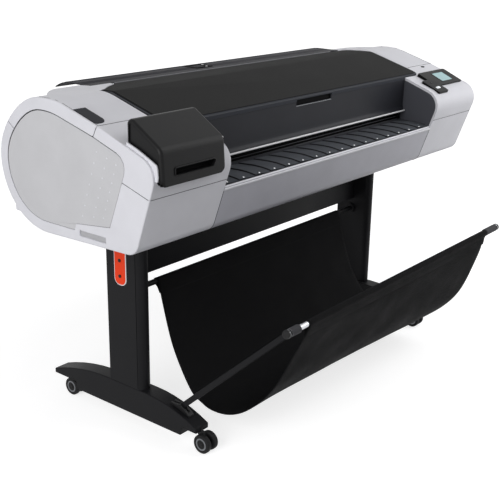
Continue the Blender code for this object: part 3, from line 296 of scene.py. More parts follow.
def inset(outline: Line, distance: float) -> list[Point]:
    """The outline drawn in by a distance.

    Args:
        outline: The outline.
        distance: How far it is drawn in, or let out where it is negative.

    Returns:
        The moved outline, running anticlockwise.
    """
    points = list(outline)
    if sum(p[0] * q[1] - q[0] * p[1] for p, q in zip(points, points[1:] + points[:1])) < 0:
        points.reverse()
    moved: list[Point] = []
    for i, point in enumerate(points):
        before = (Vector(point) - Vector(points[i - 1])).normalized()
        after = (Vector(points[(i + 1) % len(points)]) - Vector(point)).normalized()
        normal = Vector((-before.y - after.y, before.x + after.x)).normalized()
        stretch = max(MITRE, normal.dot(Vector((-before.y, before.x))))
        moved.append(tuple(Vector(point) + normal * distance / stretch))
    return moved


def strip(path: Line, thickness: float) -> list[Point]:
    """Outline of a strip of even thickness.

    Args:
        path: The open path in the middle of the strip.
        thickness: Thickness of the strip.

    Returns:
        The closed outline.
    """
    left: list[Point] = []
    right: list[Point] = []
    for i, point in enumerate(path):
        here = Vector(point)
        before = (here - Vector(path[i - 1])).normalized() if i else None
        after = (Vector(path[i + 1]) - here).normalized() if i + 1 < len(path) else None
        before = before or after
        after = after or before
        normal = Vector((-before.y - after.y, before.x + after.x)).normalized()
        reach = thickness / 2 / max(MITRE, normal.dot(Vector((-before.y, before.x))))
        left.append(tuple(here + normal * reach))
        right.append(tuple(here - normal * reach))
    return left + right[::-1]


def eased(points: Line, steps: int = 6) -> list[Point]:
    """A smooth open path through points.

    Args:
        points: The points.
        steps: Straight pieces between one point and the next.

    Returns:
        The path, with the points on it.
    """
    knots = [Vector(p) for p in [points[0], *points, points[-1]]]
    path: list[Point] = []
    for before, here, after, beyond in zip(knots, knots[1:], knots[2:], knots[3:]):
        for k in range(steps):
            t = k / steps
            bend = (2 * before - 5 * here + 4 * after - beyond) * t ** 2
            twist = (3 * here - before - 3 * after + beyond) * t ** 3
            path.append(tuple((2 * here + (after - before) * t + bend + twist) / 2))
    return path + [tuple(points[-1])]


def spot_on(axis: Axis, a: float, b: float, along: float) -> Spot:
    """The spot at two coordinates of an outline and a place along the axis that it is drawn out on."""
    place = dict(zip(axis.value, (a, b, along)))
    return place[0], place[1], place[2]


def soft_prism(axis: Axis, outline: Line, low: float, high: float, soft: float = 0.001,
               steps: int = 3) -> Solid:
    """Solid with an outline drawn out along an axis and rounded rims at both ends.

    Args:
        axis: Direction in which the outline is drawn out.
        outline: The outline, in the two other coordinates.
        low: Where it starts.
        high: Where it ends.
        soft: Radius of the rims.
        steps: Straight pieces in each rim.

    Returns:
        The closed solid.
    """
    rings: list[tuple[float, float]] = []
    for k in range(steps + 1):
        turn = math.pi / 2 * k / steps
        rings.append((soft * (1 - math.sin(turn)), soft * (1 - math.cos(turn))))
    levels = [(draw, low + depth) for draw, depth in rings]
    levels += [(draw, high - depth) for draw, depth in reversed(rings)]
    solid = bmesh.new()
    loops = []
    for draw, along in levels:
        ring = inset(outline, draw)
        loops.append([solid.verts.new(spot_on(axis, a, b, along)) for a, b in ring])
    for here, there in zip(loops, loops[1:]):
        for i in range(len(here)):
            k = (i + 1) % len(here)
            solid.faces.new((here[i], here[k], there[k], there[i]))
    solid.faces.new(loops[0])
    solid.faces.new(loops[-1])
    bmesh.ops.recalc_face_normals(solid, faces=solid.faces)
    return solid


def cutter(axis: Axis, outline: Line, low: float, high: float) -> Solid:
    """A prism with sharp rims, to cut with."""
    return soft_prism(axis, outline, low, high, 0.0)


def turned(axis: Axis, centre: Point, profile: Line, sides: int = 48) -> Solid:
    """Solid turned round an axis.

    Args:
        axis: The axis.
        centre: Where the axis passes, in the two other coordinates.
        profile: Positions along the axis with the radius at each, from one end to the other.
        sides: Facets round the axis.

    Returns:
        The closed solid.
    """
    solid = bmesh.new()
    loops = []
    for along, radius in profile:
        ring = arc(centre, radius, 0.0, 360.0 * (sides - 1) / sides, sides - 1)
        loops.append([solid.verts.new(spot_on(axis, a, b, along)) for a, b in ring])
    for here, there in zip(loops, loops[1:]):
        for i in range(sides):
            k = (i + 1) % sides
            solid.faces.new((here[i], here[k], there[k], there[i]))
    solid.faces.new(loops[0])
    solid.faces.new(loops[-1])
    bmesh.ops.recalc_face_normals(solid, faces=solid.faces)
    return solid


def bar(axis: Axis, centre: Point, radius: float, low: float, high: float, soft: float = 0.001,
        sides: int = 32) -> Solid:
    """Round bar with rounded rims along an axis.

    Args:
        axis: The axis.
        centre: Where the axis passes, in the two other coordinates.
        radius: Radius of the bar.
        low: Where it starts.
        high: Where it ends.
        soft: Radius of the rims.
        sides: Facets round the axis.

    Returns:
        The closed solid.
    """
    rim = [(soft * (1 - math.cos(t)), soft * (1 - math.sin(t))) for t in RIM_TURNS]
    profile = [(low + depth, radius - draw) for depth, draw in rim]
    profile += [(high - depth, radius - draw) for depth, draw in reversed(rim)]
    return turned(axis, centre, profile, sides)


def turn_solid(solid: Solid, place: Matrix) -> Solid:
    """The solid moved by a matrix."""
    bmesh.ops.transform(solid, matrix=place, verts=solid.verts)
    return solid


def shifted(solid: Solid) -> Solid:
    """A solid whose depths are measured from the posts, moved into the model's frame."""
    return turn_solid(solid, Matrix.Translation((0.0, STAND_Y, 0.0)))


def mirrored(solid: Solid, side: Side) -> Solid:
    """A solid made for the right, put on either side.

    Args:
        solid: The solid, changed in place.
        side: Where it goes.

    Returns:
        The same solid.
    """
    if side is Side.LEFT:
        bmesh.ops.scale(solid, vec=(-1, 1, 1), verts=solid.verts)
        bmesh.ops.reverse_faces(solid, faces=solid.faces)
    return solid


def merged(solids: Sequence[Solid]) -> Solid:
    """Several solids as one mesh.

    Args:
        solids: The solids, which are used up.

    Returns:
        The whole.
    """
    whole = bmesh.new()
    for solid in solids:
        mesh = bpy.data.meshes.new("part_of_piece")
        solid.to_mesh(mesh)
        solid.free()
        whole.from_mesh(mesh)
        bpy.data.meshes.remove(mesh)
    return whole


def placed(name: str, solid: Solid) -> Piece:
    """A solid as an object of the scene.

    Args:
        name: Name of the object and of its mesh.
        solid: Its shape, which is used up.

    Returns:
        The object.
    """
    mesh = bpy.data.meshes.new(name)
    solid.to_mesh(mesh)
    solid.free()
    item = bpy.data.objects.new(name, mesh)
    bpy.context.scene.collection.objects.link(item)
    return item


def carved(solid: Solid, tool: Solid, cut: Cut = Cut.AWAY) -> Solid:
    """Boolean of two solids, which are both used up.

    Args:
        solid: What is worked on.
        tool: What it is worked with.
        cut: What is kept.

    Returns:
        The resulting solid.
    """
    pair = [placed("shape", shape) for shape in (solid, tool)]
    work = pair[0].modifiers.new("carve", "BOOLEAN")
    work.object = pair[1]
    work.operation = cut.value
    work.solver = "EXACT"
    result = bmesh.new()
    result.from_mesh(pair[0].evaluated_get(bpy.context.evaluated_depsgraph_get()).to_mesh())
    for item in pair:
        mesh = item.data
        bpy.data.objects.remove(item, do_unlink=True)
        bpy.data.meshes.remove(mesh)
    return result


def anywhere(_edge: Edge) -> bool:
    """Edge test that takes every edge."""
    return True


@dataclass(frozen=True)
class Rounding:
    """Which edges of a solid are rounded, and by how much."""

    test: EdgeTest
    width: float
    steps: int = 3


@dataclass
class Paintshop:
    """Makes each finish once, from shader groups that are shared by all of them."""

    drift_scale: float = 9.0
    broad_detail: float = 3.0
    fine_detail: float = 2.0
    streak: Spot = (0.02, 1.0, 1.0)
    thread_wobble: float = 0.6
    thread_detail: float = 1.4
    colour_drift: float = 1.6
    roughness_drift: float = 2.0
    least_roughness: float = 0.04
    coat_roughness: float = 0.08
    bump_height: float = 0.0006
    groups: dict[Grain, Tree] = field(default_factory=dict)
    made: dict[str, bpy.types.Material] = field(default_factory=dict)

    def group(self, structure: Grain) -> Tree:
        """Shader group of a surface structure, with outputs Shade and Height from 0 to 1.

        Args:
            structure: Which structure.

        Returns:
            The node group.
        """
        if structure in self.groups:
            return self.groups[structure]
        tree = bpy.data.node_groups.new(structure.value, "ShaderNodeTree")
        tree.interface.new_socket("Grain", in_out="INPUT", socket_type="NodeSocketFloat")
        tree.interface.new_socket("Drift Scale", in_out="INPUT", socket_type="NodeSocketFloat")
        for name in ("Shade", "Height"):
            tree.interface.new_socket(name, in_out="OUTPUT", socket_type="NodeSocketFloat")
        inputs = tree.nodes.new("NodeGroupInput")
        outputs = tree.nodes.new("NodeGroupOutput")
        coords = tree.nodes.new("ShaderNodeTexCoord")
        place = coords.outputs["UV" if structure is Grain.WOVEN else "Object"]
        if structure is Grain.BRUSHED:
            stretch = tree.nodes.new("ShaderNodeMapping")
            stretch.inputs["Scale"].default_value = self.streak
            tree.links.new(place, stretch.inputs["Vector"])
            place = stretch.outputs["Vector"]
        broad = self.noise(tree, place, inputs.outputs["Drift Scale"], self.broad_detail)
        fine = self.noise(tree, place, inputs.outputs["Grain"], self.fine_detail)
        shade, height = broad, fine
        if structure is Grain.POWDER:
            cells = tree.nodes.new("ShaderNodeTexVoronoi")
            tree.links.new(place, cells.inputs["Vector"])
            tree.links.new(inputs.outputs["Grain"], cells.inputs["Scale"])
            height = self.maths(tree, "MULTIPLY", fine, cells.outputs["Distance"])
        elif structure is Grain.BRUSHED:
            shade = self.maths(tree, "MULTIPLY", broad, fine)
        elif structure is Grain.WOVEN:
            height = self.weave(tree, place, inputs.outputs["Grain"])
            shade = self.maths(tree, "MULTIPLY", broad, height)
        tree.links.new(shade, outputs.inputs["Shade"])
        tree.links.new(height, outputs.inputs["Height"])
        self.groups[structure] = tree
        return tree

    @staticmethod
    def noise(tree: Tree, place: Socket, scale: Socket, detail: float) -> Socket:
        """Add a noise texture.

        Args:
            tree: Tree that it goes in.
            place: Its coordinates.
            scale: Its scale.
            detail: Its detail.

        Returns:
            Its value.
        """
        node = tree.nodes.new("ShaderNodeTexNoise")
        node.inputs["Detail"].default_value = detail
        tree.links.new(place, node.inputs["Vector"])
        tree.links.new(scale, node.inputs["Scale"])
        return node.outputs["Fac"]

    @staticmethod
    def maths(tree: Tree, operation: str, a: Socket, b: Socket) -> Socket:
        """Add a math node.

        Args:
            tree: Tree that it goes in.
            operation: What it does.
            a: First value.
            b: Second value.

        Returns:
            Its result.
        """
        node = tree.nodes.new("ShaderNodeMath")
        node.operation = operation
        tree.links.new(a, node.inputs[0])
        tree.links.new(b, node.inputs[1])
        return node.outputs["Value"]

    def weave(self, tree: Tree, place: Socket, scale: Socket) -> Socket:
        """Add warp and weft threads.

        Args:
            tree: Tree that they go in.
            place: A UV map in metres.
            scale: Threads per metre.

        Returns:
            Their height.
        """
        threads = []
        for direction in ("X", "Y"):
            wave = tree.nodes.new("ShaderNodeTexWave")
            wave.bands_direction = direction
            wave.inputs["Distortion"].default_value = self.thread_wobble
            wave.inputs["Detail Scale"].default_value = self.thread_detail
            tree.links.new(place, wave.inputs["Vector"])
            tree.links.new(scale, wave.inputs["Scale"])
            threads.append(wave.outputs["Fac"])
        return self.maths(tree, "MAXIMUM", threads[0], threads[1])

    def material(self, finish: Finish) -> bpy.types.Material:
        """The material of a finish.

        Args:
            finish: The finish.

        Returns:
            Its material, made on first use.
        """
        if finish.name in self.made:
            return self.made[finish.name]
        material = bpy.data.materials.new(finish.name)
        material.use_nodes = True
        tree = material.node_tree
        shader = tree.nodes["Principled BSDF"]
        shader.inputs["Metallic"].default_value = finish.metallic
        shader.inputs["Specular IOR Level"].default_value = finish.specular
        shader.inputs["Coat Weight"].default_value = finish.coat
        shader.inputs["Coat Roughness"].default_value = self.coat_roughness
        surface = tree.nodes.new("ShaderNodeGroup")
        surface.node_tree = self.group(finish.structure)
        surface.inputs["Grain"].default_value = finish.grain
        surface.inputs["Drift Scale"].default_value = self.drift_scale
        mix = tree.nodes.new("ShaderNodeMix")
        mix.data_type = "RGBA"
        dark, light = [s for s in mix.inputs if s.type == "RGBA"][:2]
        drift = finish.drift * self.colour_drift
        dark.default_value = linear(finish.colour, 1.0 - drift)
        light.default_value = linear(finish.colour, 1.0 + drift)
        tree.links.new(surface.outputs["Shade"], mix.inputs["Factor"])
        colour = [s for s in mix.outputs if s.type == "RGBA"][0]
        tree.links.new(colour, shader.inputs["Base Color"])
        spread = tree.nodes.new("ShaderNodeMapRange")
        drift = finish.drift * self.roughness_drift
        spread.inputs["To Min"].default_value = max(finish.roughness * (1 - drift), self.least_roughness)
        spread.inputs["To Max"].default_value = min(finish.roughness * (1 + drift), 1.0)
        tree.links.new(surface.outputs["Shade"], spread.inputs["Value"])
        tree.links.new(spread.outputs["Result"], shader.inputs["Roughness"])
        if finish.depth:
            bump = tree.nodes.new("ShaderNodeBump")
            bump.inputs["Strength"].default_value = finish.depth
            bump.inputs["Distance"].default_value = self.bump_height
            tree.links.new(surface.outputs["Height"], bump.inputs["Height"])
            tree.links.new(bump.outputs["Normal"], shader.inputs["Normal"])
        if finish.glow:
            tree.links.new(colour, shader.inputs["Emission Color"])
            shader.inputs["Emission Strength"].default_value = finish.glow
        self.made[finish.name] = material
        return material


@dataclass
class RepeatShop:
    """Makes pieces that repeat, each from a Geometry Nodes tree that is built once."""

    dome_facets: tuple[int, int] = (14, 8)
    bar_facets: int = 12
    stitch_facets: tuple[int, int] = (6, 4)
    unit_ball: float = 0.5      # radius of a ball that the sizes of a stitch scale
    trees: dict[Repeat, Tree] = field(default_factory=dict)

    @staticmethod
    def start(kind: Repeat, **sizes: str) -> tuple[Tree, bpy.types.NodeOutputs]:
        """A new tree with named inputs.

        Args:
            kind: What the tree makes.
            sizes: Name of each size, with the kind of its socket.

        Returns:
            The tree and what its input node gives.
        """
        tree = bpy.data.node_groups.new(kind.value, "GeometryNodeTree")
        for name, socket in {"Geometry": "Geometry", **sizes, "Finish": "Material"}.items():
            tree.interface.new_socket(name, in_out="INPUT", socket_type=f"NodeSocket{socket}")
        tree.interface.new_socket("Geometry", in_out="OUTPUT", socket_type="NodeSocketGeometry")
        return tree, tree.nodes.new("NodeGroupInput").outputs

    @staticmethod
    def node(tree: Tree, kind: str, **sources: Socket) -> bpy.types.Node:
        """Add a node.

        Args:
            tree: Tree that it goes in.
            kind: Its type, without the word GeometryNode.
            sources: What feeds each of its inputs.

        Returns:
            The node.
        """
        node = tree.nodes.new(f"GeometryNode{kind}")
        for name, source in sources.items():
            tree.links.new(source, node.inputs[name])
        return node

    def ball(self, tree: Tree, facets: tuple[int, int]) -> bpy.types.Node:
        """Add a ball.

        Args:
            tree: Tree that it goes in.
            facets: Its segments and rings.

        Returns:
            Its node.
        """
        ball = self.node(tree, "MeshUVSphere")
        for socket, count in zip(("Segments", "Rings"), facets):
            ball.inputs[socket].default_value = count
        return ball

    def end(self, tree: Tree, finish: Socket, instances: Socket) -> Tree:
        """Realise the instances, give them their finish and end the tree.

        Args:
            tree: The tree.
            finish: Material of the instances.
            instances: What the tree has placed.

        Returns:
            The same tree.
        """
        real = self.node(tree, "RealizeInstances", Geometry=instances)
        smooth = self.node(tree, "SetShadeSmooth", Geometry=real.outputs["Geometry"])
        paint = self.node(tree, "SetMaterial", Geometry=smooth.outputs["Geometry"], Material=finish)
        output = tree.nodes.new("NodeGroupOutput")
        tree.links.new(paint.outputs["Geometry"], output.inputs["Geometry"])
        return tree

    def domes(self) -> Tree:
        """Tree of low domes on every vertex of the carrier, all turned one way.

        Returns:
            The tree.
        """
        tree, given = self.start(Repeat.DOMES, Radius="Float", Flatness="Vector", Facing="Vector")
        ball = self.ball(tree, self.dome_facets)
        tree.links.new(given["Radius"], ball.inputs["Radius"])
        put = self.node(tree, "InstanceOnPoints", Points=given["Geometry"], Instance=ball.outputs["Mesh"],
                        Rotation=given["Facing"], Scale=given["Flatness"])
        return self.end(tree, given["Finish"], put.outputs["Instances"])

    def bars(self) -> Tree:
        """Tree of round bars along one direction, one on every vertex of the carrier.

        Returns:
            The tree.
        """
        tree, given = self.start(Repeat.BARS, Radius="Float", Length="Float", Facing="Vector")
        rod = self.node(tree, "MeshCylinder", Radius=given["Radius"], Depth=given["Length"])
        rod.inputs["Vertices"].default_value = self.bar_facets
        put = self.node(tree, "InstanceOnPoints", Points=given["Geometry"], Instance=rod.outputs["Mesh"],
                        Rotation=given["Facing"])
        return self.end(tree, given["Finish"], put.outputs["Instances"])

    def stitches(self) -> Tree:
        """Tree of stitches that follow the edges of the carrier.

        Returns:
            The tree.
        """
        tree, given = self.start(Repeat.STITCHES, Pitch="Float", Stitch="Vector")
        curve = self.node(tree, "MeshToCurve", Mesh=given["Geometry"])
        points = self.node(tree, "ResampleCurve", Curve=curve.outputs["Curve"])
        points.mode = "LENGTH"
        tree.links.new(given["Pitch"], points.inputs["Length"])
        tangent = self.node(tree, "InputTangent")
        aim = tree.nodes.new("FunctionNodeAlignRotationToVector")
        aim.axis = "X"
        tree.links.new(tangent.outputs["Tangent"], aim.inputs["Vector"])
        ball = self.ball(tree, self.stitch_facets)
        ball.inputs["Radius"].default_value = self.unit_ball
        put = self.node(tree, "InstanceOnPoints", Points=points.outputs["Curve"],
                        Instance=ball.outputs["Mesh"], Rotation=aim.outputs["Rotation"],
                        Scale=given["Stitch"])
        return self.end(tree, given["Finish"], put.outputs["Instances"])

    def run(self, kind: Repeat, item: Piece, sizes: dict[str, object], material: bpy.types.Material) -> None:
        """Turn a carrier object into the repeated piece, as a plain mesh.

        Args:
            kind: What is repeated.
            item: Object whose vertices or edges carry the repeats.
            sizes: Value of each named input.
            material: Material of the result.
        """
        if kind not in self.trees:
            makers = {Repeat.DOMES: self.domes, Repeat.BARS: self.bars, Repeat.STITCHES: self.stitches}
            self.trees[kind] = makers[kind]()
        tree = self.trees[kind]
        modifier = item.modifiers.new("repeat", "NODES")
        modifier.node_group = tree
        sockets = {s.name: s.identifier for s in tree.interface.items_tree if s.in_out == "INPUT"}
        for name, value in {**sizes, "Finish": material}.items():
            modifier[sockets[name]] = value
        settle(item)


def settle(item: Piece) -> None:
    """Replace an object's mesh by its evaluated one and drop its modifiers.

    Args:
        item: The object.
    """
    graph = bpy.context.evaluated_depsgraph_get()
    mesh = bpy.data.meshes.new_from_object(item.evaluated_get(graph))
    old = item.data
    item.modifiers.clear()
    item.data = mesh
    bpy.data.meshes.remove(old)


@dataclass
class Workshop:
    """Shared bench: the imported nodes, and the ways a piece is made, painted and put on its body."""

    nodes: dict[str, Piece]
    body_of: dict[str, str]
    weld: float = 0.00002
    flat: float = 0.4
    most_corners: int = 8
    shortest: float = 0.0002
    paint: Paintshop = field(default_factory=Paintshop)
    repeats: RepeatShop = field(default_factory=RepeatShop)

    def put(self, name: str, solid: Solid, finish: Finish, body: str,
            replaces: Sequence[str] = (), sharp: float = SHARP) -> None:
        """Make a mesh object from a solid, paint it and put it on a body.

        Args:
            name: Name of the piece.
            solid: Its shape, which is used up.
            finish: Its finish.
            body: Body that it rides on.
            replaces: Nodes that it stands for.
            sharp: Edges above this angle, in degrees, stay sharp.
        """
        item = placed(name, solid)
        item.data.shade_smooth()
        item.data.set_sharp_from_angle(angle=math.radians(sharp))
        even = item.modifiers.new("even_normals", "WEIGHTED_NORMAL")
        even.keep_sharp = True
        settle(item)
        self.ride(item, finish, body, replaces)

    def ride(self, item: Piece, finish: Finish, body: str, replaces: Sequence[str] = ()) -> Piece:
        """Paint a made object and put it on its body.

        Args:
            item: The object.
            finish: Its finish.
            body: Body that it rides on.
            replaces: Nodes that it stands for.

        Returns:
            The same object.
        """
        item.data.materials.clear()
        item.data.materials.append(self.paint.material(finish))
        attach(item, body)
        if replaces:
            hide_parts(*replaces)
        LOG.info("%s: %d faces on %s", item.name, len(item.data.polygons), body)
        return item

    def solid_of(self, node: str) -> Solid:
        """A merged copy of a node's own solid, with its flat faces whole.

        Args:
            node: The node.

        Returns:
            The copy.
        """
        solid = bmesh.new()
        solid.from_mesh(self.nodes[node].data)
        bmesh.ops.remove_doubles(solid, verts=solid.verts, dist=self.weld)
        flat = math.radians(self.flat)
        bmesh.ops.dissolve_limit(solid, angle_limit=flat, verts=solid.verts, edges=solid.edges)
        wide = [face for face in solid.faces if len(face.verts) > self.most_corners]
        bmesh.ops.triangulate(solid, faces=wide, quad_method="BEAUTY", ngon_method="BEAUTY")
        return solid

    def round_edges(self, solid: Solid, rule: Rounding, angle: float = 24.0) -> None:
        """Round the convex edges of a solid that a rule names.

        Args:
            solid: The solid, changed in place.
            rule: Which edges, and how wide.
            angle: Edges flatter than this, in degrees, are left.
        """
        chosen = []
        for edge in solid.edges:
            if len(edge.link_faces) != 2 or edge.calc_length() < self.shortest:
                continue
            if edge.calc_face_angle_signed(0.0) > math.radians(angle) and rule.test(edge):
                chosen.append(edge)
        if chosen:
            bmesh.ops.bevel(solid, geom=chosen, offset=rule.width, offset_type="OFFSET", segments=rule.steps,
                            profile=0.5, affect="EDGES", clamp_overlap=False, loop_slide=True)

    def dress(self, node: str, finish: Finish, rules: Sequence[Rounding] = (),
              soft: float = SOFT_EDGE) -> None:
        """Replace a node by its own solid with rounded edges and a finish, named after the node.

        Args:
            node: The node.
            finish: Its finish.
            rules: Wider roundings, made first.
            soft: Width of the rounding on every other edge.
        """
        solid = self.solid_of(node)
        for rule in [*rules, Rounding(anywhere, soft, 2)]:
            self.round_edges(solid, rule)
        self.put(f"{node}_skin", solid, finish, self.body_of[node], [node])

    def repeat(self, kind: Repeat, name: str, carrier: Solid, sizes: dict[str, object],
               finish: Finish, body: str) -> Piece:
        """Make a repeating piece on a carrier and put it on a body.

        Args:
            kind: What is repeated.
            name: Name of the piece.
            carrier: Vertices or edges that carry the repeats.
            sizes: Value of each named input.
            finish: Its finish.
            body: Body that it rides on.

        Returns:
            The piece.
        """
        item = placed(name, carrier)
        self.repeats.run(kind, item, sizes, self.paint.material(finish))
        return self.ride(item, finish, body)


def trace(runs: Sequence[Sequence[Vector]]) -> Solid:
    """Open lines of edges that carry repeats.

    Args:
        runs: The points of each line.

    Returns:
        The carrier.
    """
    carrier = bmesh.new()
    for run in runs:
        knots = [carrier.verts.new(spot) for spot in run]
        for here, there in zip(knots, knots[1:]):
            carrier.edges.new((here, there))
    return carrier


def scatter(spots: Sequence[Vector]) -> Solid:
    """Loose vertices that carry repeats."""
    return trace([[spot] for spot in spots])


@dataclass
class Assembly:
    """A sub-assembly of the machine, dressed on the shared bench."""

    shop: Workshop

    def add(self, name: str, solid: Solid, finish: Finish, body: str = "machine",
            replaces: Sequence[str] = (), sharp: float = SHARP) -> None:
        """Put on a piece whose depths are measured from the posts, as Workshop.put does in the frame."""
        self.shop.put(name, shifted(solid), finish, body, replaces, sharp)


@dataclass
class EndCovers(Assembly):
    """The two moulded ends: rims, covers, side panels, grips and partings, and what only the left one has.

    Outlines lie in depth and height. What both ends have is made for the right one and mirrored for the left.
    """

    rim_radius: float = 0.004
    centre: Point = (-0.050, 0.860)
    slot_y: Point = (-0.191, -0.086)
    slot_z: Point = (0.6895, 0.7075)
    slot_near: float = 0.002
    slot_corner: float = 0.0006
    frame_wide: float = 0.0010
    frame_deep: float = 0.004
    frame_corner: float = 0.0025
    frame_gap: float = 0.0002
    frame_sunk: float = 0.0003
    pocket_deep: float = 0.026
    pocket_out: Point = (0.004, 0.001)
    pocket_gap: float = 0.0005
    pocket_soft: Point = (0.001, 0.004)
    panel_fix: Point = (-0.207, 0.737)
    panel_shrink: float = 0.0068
    panel_soft: float = 0.0009
    board_scale: Spot = (0.4, 1.02, 1.03)
    board_gap: float = 0.0004
    dot_radius: float = 0.0026
    dot_flat: Spot = (0.30, 1.0, 1.0)
    dot_rows: int = 7
    dot_columns: Sequence[tuple[Point, Point]] = (
        ((-0.166, 0.934), (-0.102, 0.750)), ((-0.204, 0.923), (-0.147, 0.756)),
        ((-0.238, 0.911), (-0.184, 0.760)))
    roof: Line = ((0.060, BODY_TOP - 0.0003), (0.0197, BODY_TOP), (-0.010, 1.0479))
    brow: Point = (-0.0384, 1.0414)
    brow_radius: float = 0.20
    groove_x: Point = (0.8775, 0.8788)
    nose_radius: float = 0.060
    chin: Point = (-0.299, BODY_BOTTOM + 0.008)
    chin_radius: float = 0.042
    under_y: float = -0.100
    mouth: float = 0.585
    border: Point = (0.0032, 0.0098)
    border_x: Point = (0.0002, 0.0030)
    border_y: Point = (-0.5, -0.215)
    border_z: Point = (0.8125, 0.981)
    seam: float = 0.0014
    seam_thin: float = 0.0006
    seam_out: Point = (HALF_WIDTH - 0.0003, HALF_WIDTH + 0.0002)
    seam_side: Line = ((-0.3500, 0.8392), (-0.2580, 0.8680))
    seam_panel: Line = ((-0.155, 0.972), (TOP_SEAM[0] + 0.001, TOP_SEAM[1] - 0.004))
    seam_front_z: float = 0.838
    seam_front_end: float = 0.8805
    seam_brow_start: float = 0.700
    lip_z: float = 0.8015
    lip_end_y: float = -0.12
    lip_line: float = 0.0008
    lip_x: Point = (-0.0012, 0.0003)
    lug_x: Point = (-0.880, -0.868)
    lug_y: Point = (0.160, 0.192)
    lug_z: Point = (0.708, 0.727)
    lug_radius: Point = (0.004, 0.002)
    kerb_x: Point = (-0.8765, -0.8715)
    kerb_soft: float = 0.001
    kerb: Line = (
        (-0.268, 0.9738), (-0.3037, 0.9613), (-0.3257, 0.9518), (-0.3503, 0.9403), (-0.3708, 0.9300),
        (-0.3738, 0.9240), (-0.3764, 0.8990), (-0.3740, 0.8870), (-0.3300, 0.8870), (-0.2680, 0.9200))
    plaque_x: Point = (-0.8775, -0.8355)
    plaque_span: Point = (0.0100, 0.1010)
    plaque_radii: Sequence[float] = (0.009, 0.024, 0.002)
    plaque_lift: Point = (-0.002, 0.0012)
    plaque_soft: float = 0.0008

    def build(self) -> None:
        """Build both ends."""
        rules = [Rounding(self.on_rim, self.rim_radius, 4)]
        for side in Side:
            for piece in ("end_rim", "upper_cover", "lower_cover"):
                self.shop.dress(f"{side.word}_{piece}", SHELL, rules)
            self.side_panel(side)
            self.grip(side)
            self.dots(side)
            self.groove(side)
            self.seams(side)
            self.mouth_border(side)
        self.plaque()
        kerb = soft_prism(Axis.X, self.kerb, *self.kerb_x, self.kerb_soft)
        self.add("left_hood_kerb", kerb, SHELL)
        corner, soft = self.lug_radius
        lug = soft_prism(Axis.X, plate(self.lug_y, self.lug_z, corner), *self.lug_x, soft)
        self.add("left_back_lug", lug, SHELL)

    def on_rim(self, edge: Edge) -> bool:
        """Whether an edge runs round the outside of an end, where its side face meets the skin.

        Args:
            edge: An edge of a rim or a cover.

        Returns:
            True for such an edge, but not for one of the grip slot.
        """
        if any(abs(abs(v.co.x) - HALF_WIDTH) > CLOSE for v in edge.verts):
            return False
        middle = (edge.verts[0].co + edge.verts[1].co) / 2
        near = self.slot_near
        in_depth = self.slot_y[0] - near < middle.y - STAND_Y < self.slot_y[1] + near
        in_height = self.slot_z[0] - near < middle.z < self.slot_z[1] + near
        if in_depth and in_height:
            return False
        away = middle - at(middle.x, *self.centre)
        return any(abs(f.normal.x) < 0.5 and f.normal.dot(away) > 0 for f in edge.link_faces)

    def side_panel(self, side: Side) -> None:
        """Side panel with an open joint round its back and top, and the dark board behind the joint.

        Args:
            side: Which end.
        """
        node = f"{side.word}_side_panel"
        solid = self.shop.solid_of(node)
        fixed = Matrix.Translation(at(0.0, *self.panel_fix))
        close = Matrix.Diagonal((1.0, 1.0 - self.panel_shrink, 1.0 - self.panel_shrink, 1.0))
        turn_solid(solid, fixed @ close @ fixed.inverted())
        self.shop.round_edges(solid, Rounding(anywhere, self.panel_soft, 2))
        self.shop.put(f"{node}_skin", solid, PANEL, "machine", [node])
        board = self.shop.solid_of(node)
        middle = Matrix.Translation([(low + high) / 2 for low, high in zip(*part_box(node))])
        inward = Matrix.Translation((-side.value * (WALL + self.board_gap), 0.0, 0.0))
        turn_solid(board, inward @ middle @ Matrix.Diagonal((*self.board_scale, 1.0)) @ middle.inverted())
        self.shop.put(f"{node}_joint", board, JOINT_AND_SHADOW, "machine")

    def grip(self, side: Side) -> None:
        """Frame and pocket of the grip slot in a lower cover; the pocket's darker grey is painted shade.

        Args:
            side: Which end.
        """
        wide = self.frame_wide
        outer = plate(self.slot_y, self.slot_z, self.slot_corner)
        inner = plate((self.slot_y[0] + wide, self.slot_y[1] - wide),
                      (self.slot_z[0] + wide, self.slot_z[1] - wide), self.frame_corner)
        back = HALF_WIDTH - self.frame_deep
        face = HALF_WIDTH - self.frame_sunk
        ring = carved(soft_prism(Axis.X, inset(outer, self.frame_gap), back, face, self.frame_sunk),
                      cutter(Axis.X, inner, back - SPARE, HALF_WIDTH + SPARE))
        self.add(f"{side.word}_grip_frame", mirrored(ring, side), SHELL)
        deep = back - self.pocket_deep
        (wall, room), (soft, hollow_soft) = self.pocket_out, self.pocket_soft
        tray = carved(soft_prism(Axis.X, inset(outer, -wall), deep, back - self.pocket_gap, soft),
                      soft_prism(Axis.X, inset(outer, -room), deep + WALL, HALF_WIDTH, hollow_soft))
        self.add(f"{side.word}_grip_pocket", mirrored(tray, side), POCKET_SHADE)

    def dots(self, side: Side) -> None:
        """Slanted columns of low dots on the front of a side panel.

        Args:
            side: Which end.
        """
        spots = []
        for top, foot in self.dot_columns:
            for row in range(self.dot_rows):
                y, z = Vector(top).lerp(Vector(foot), row / (self.dot_rows - 1))
                spots.append(at(side.value * HALF_WIDTH, y, z))
        sizes = {"Radius": self.dot_radius, "Flatness": self.dot_flat, "Facing": UNTURNED}
        self.shop.repeat(Repeat.DOMES, f"{side.word}_panel_dots", scatter(spots), sizes, SHELL, "machine")

    def groove(self, side: Side) -> None:
        """Fine dark parting line along the top of an end, just inside its side face.

        Args:
            side: Which end.
        """
        run = [*self.roof, self.brow, TOP_SEAM]
        line = soft_prism(Axis.X, strip(run, self.seam_thin), *self.groove_x, FINE)
        self.add(f"{side.word}_top_parting", mirrored(line, side), JOINT_AND_SHADOW)

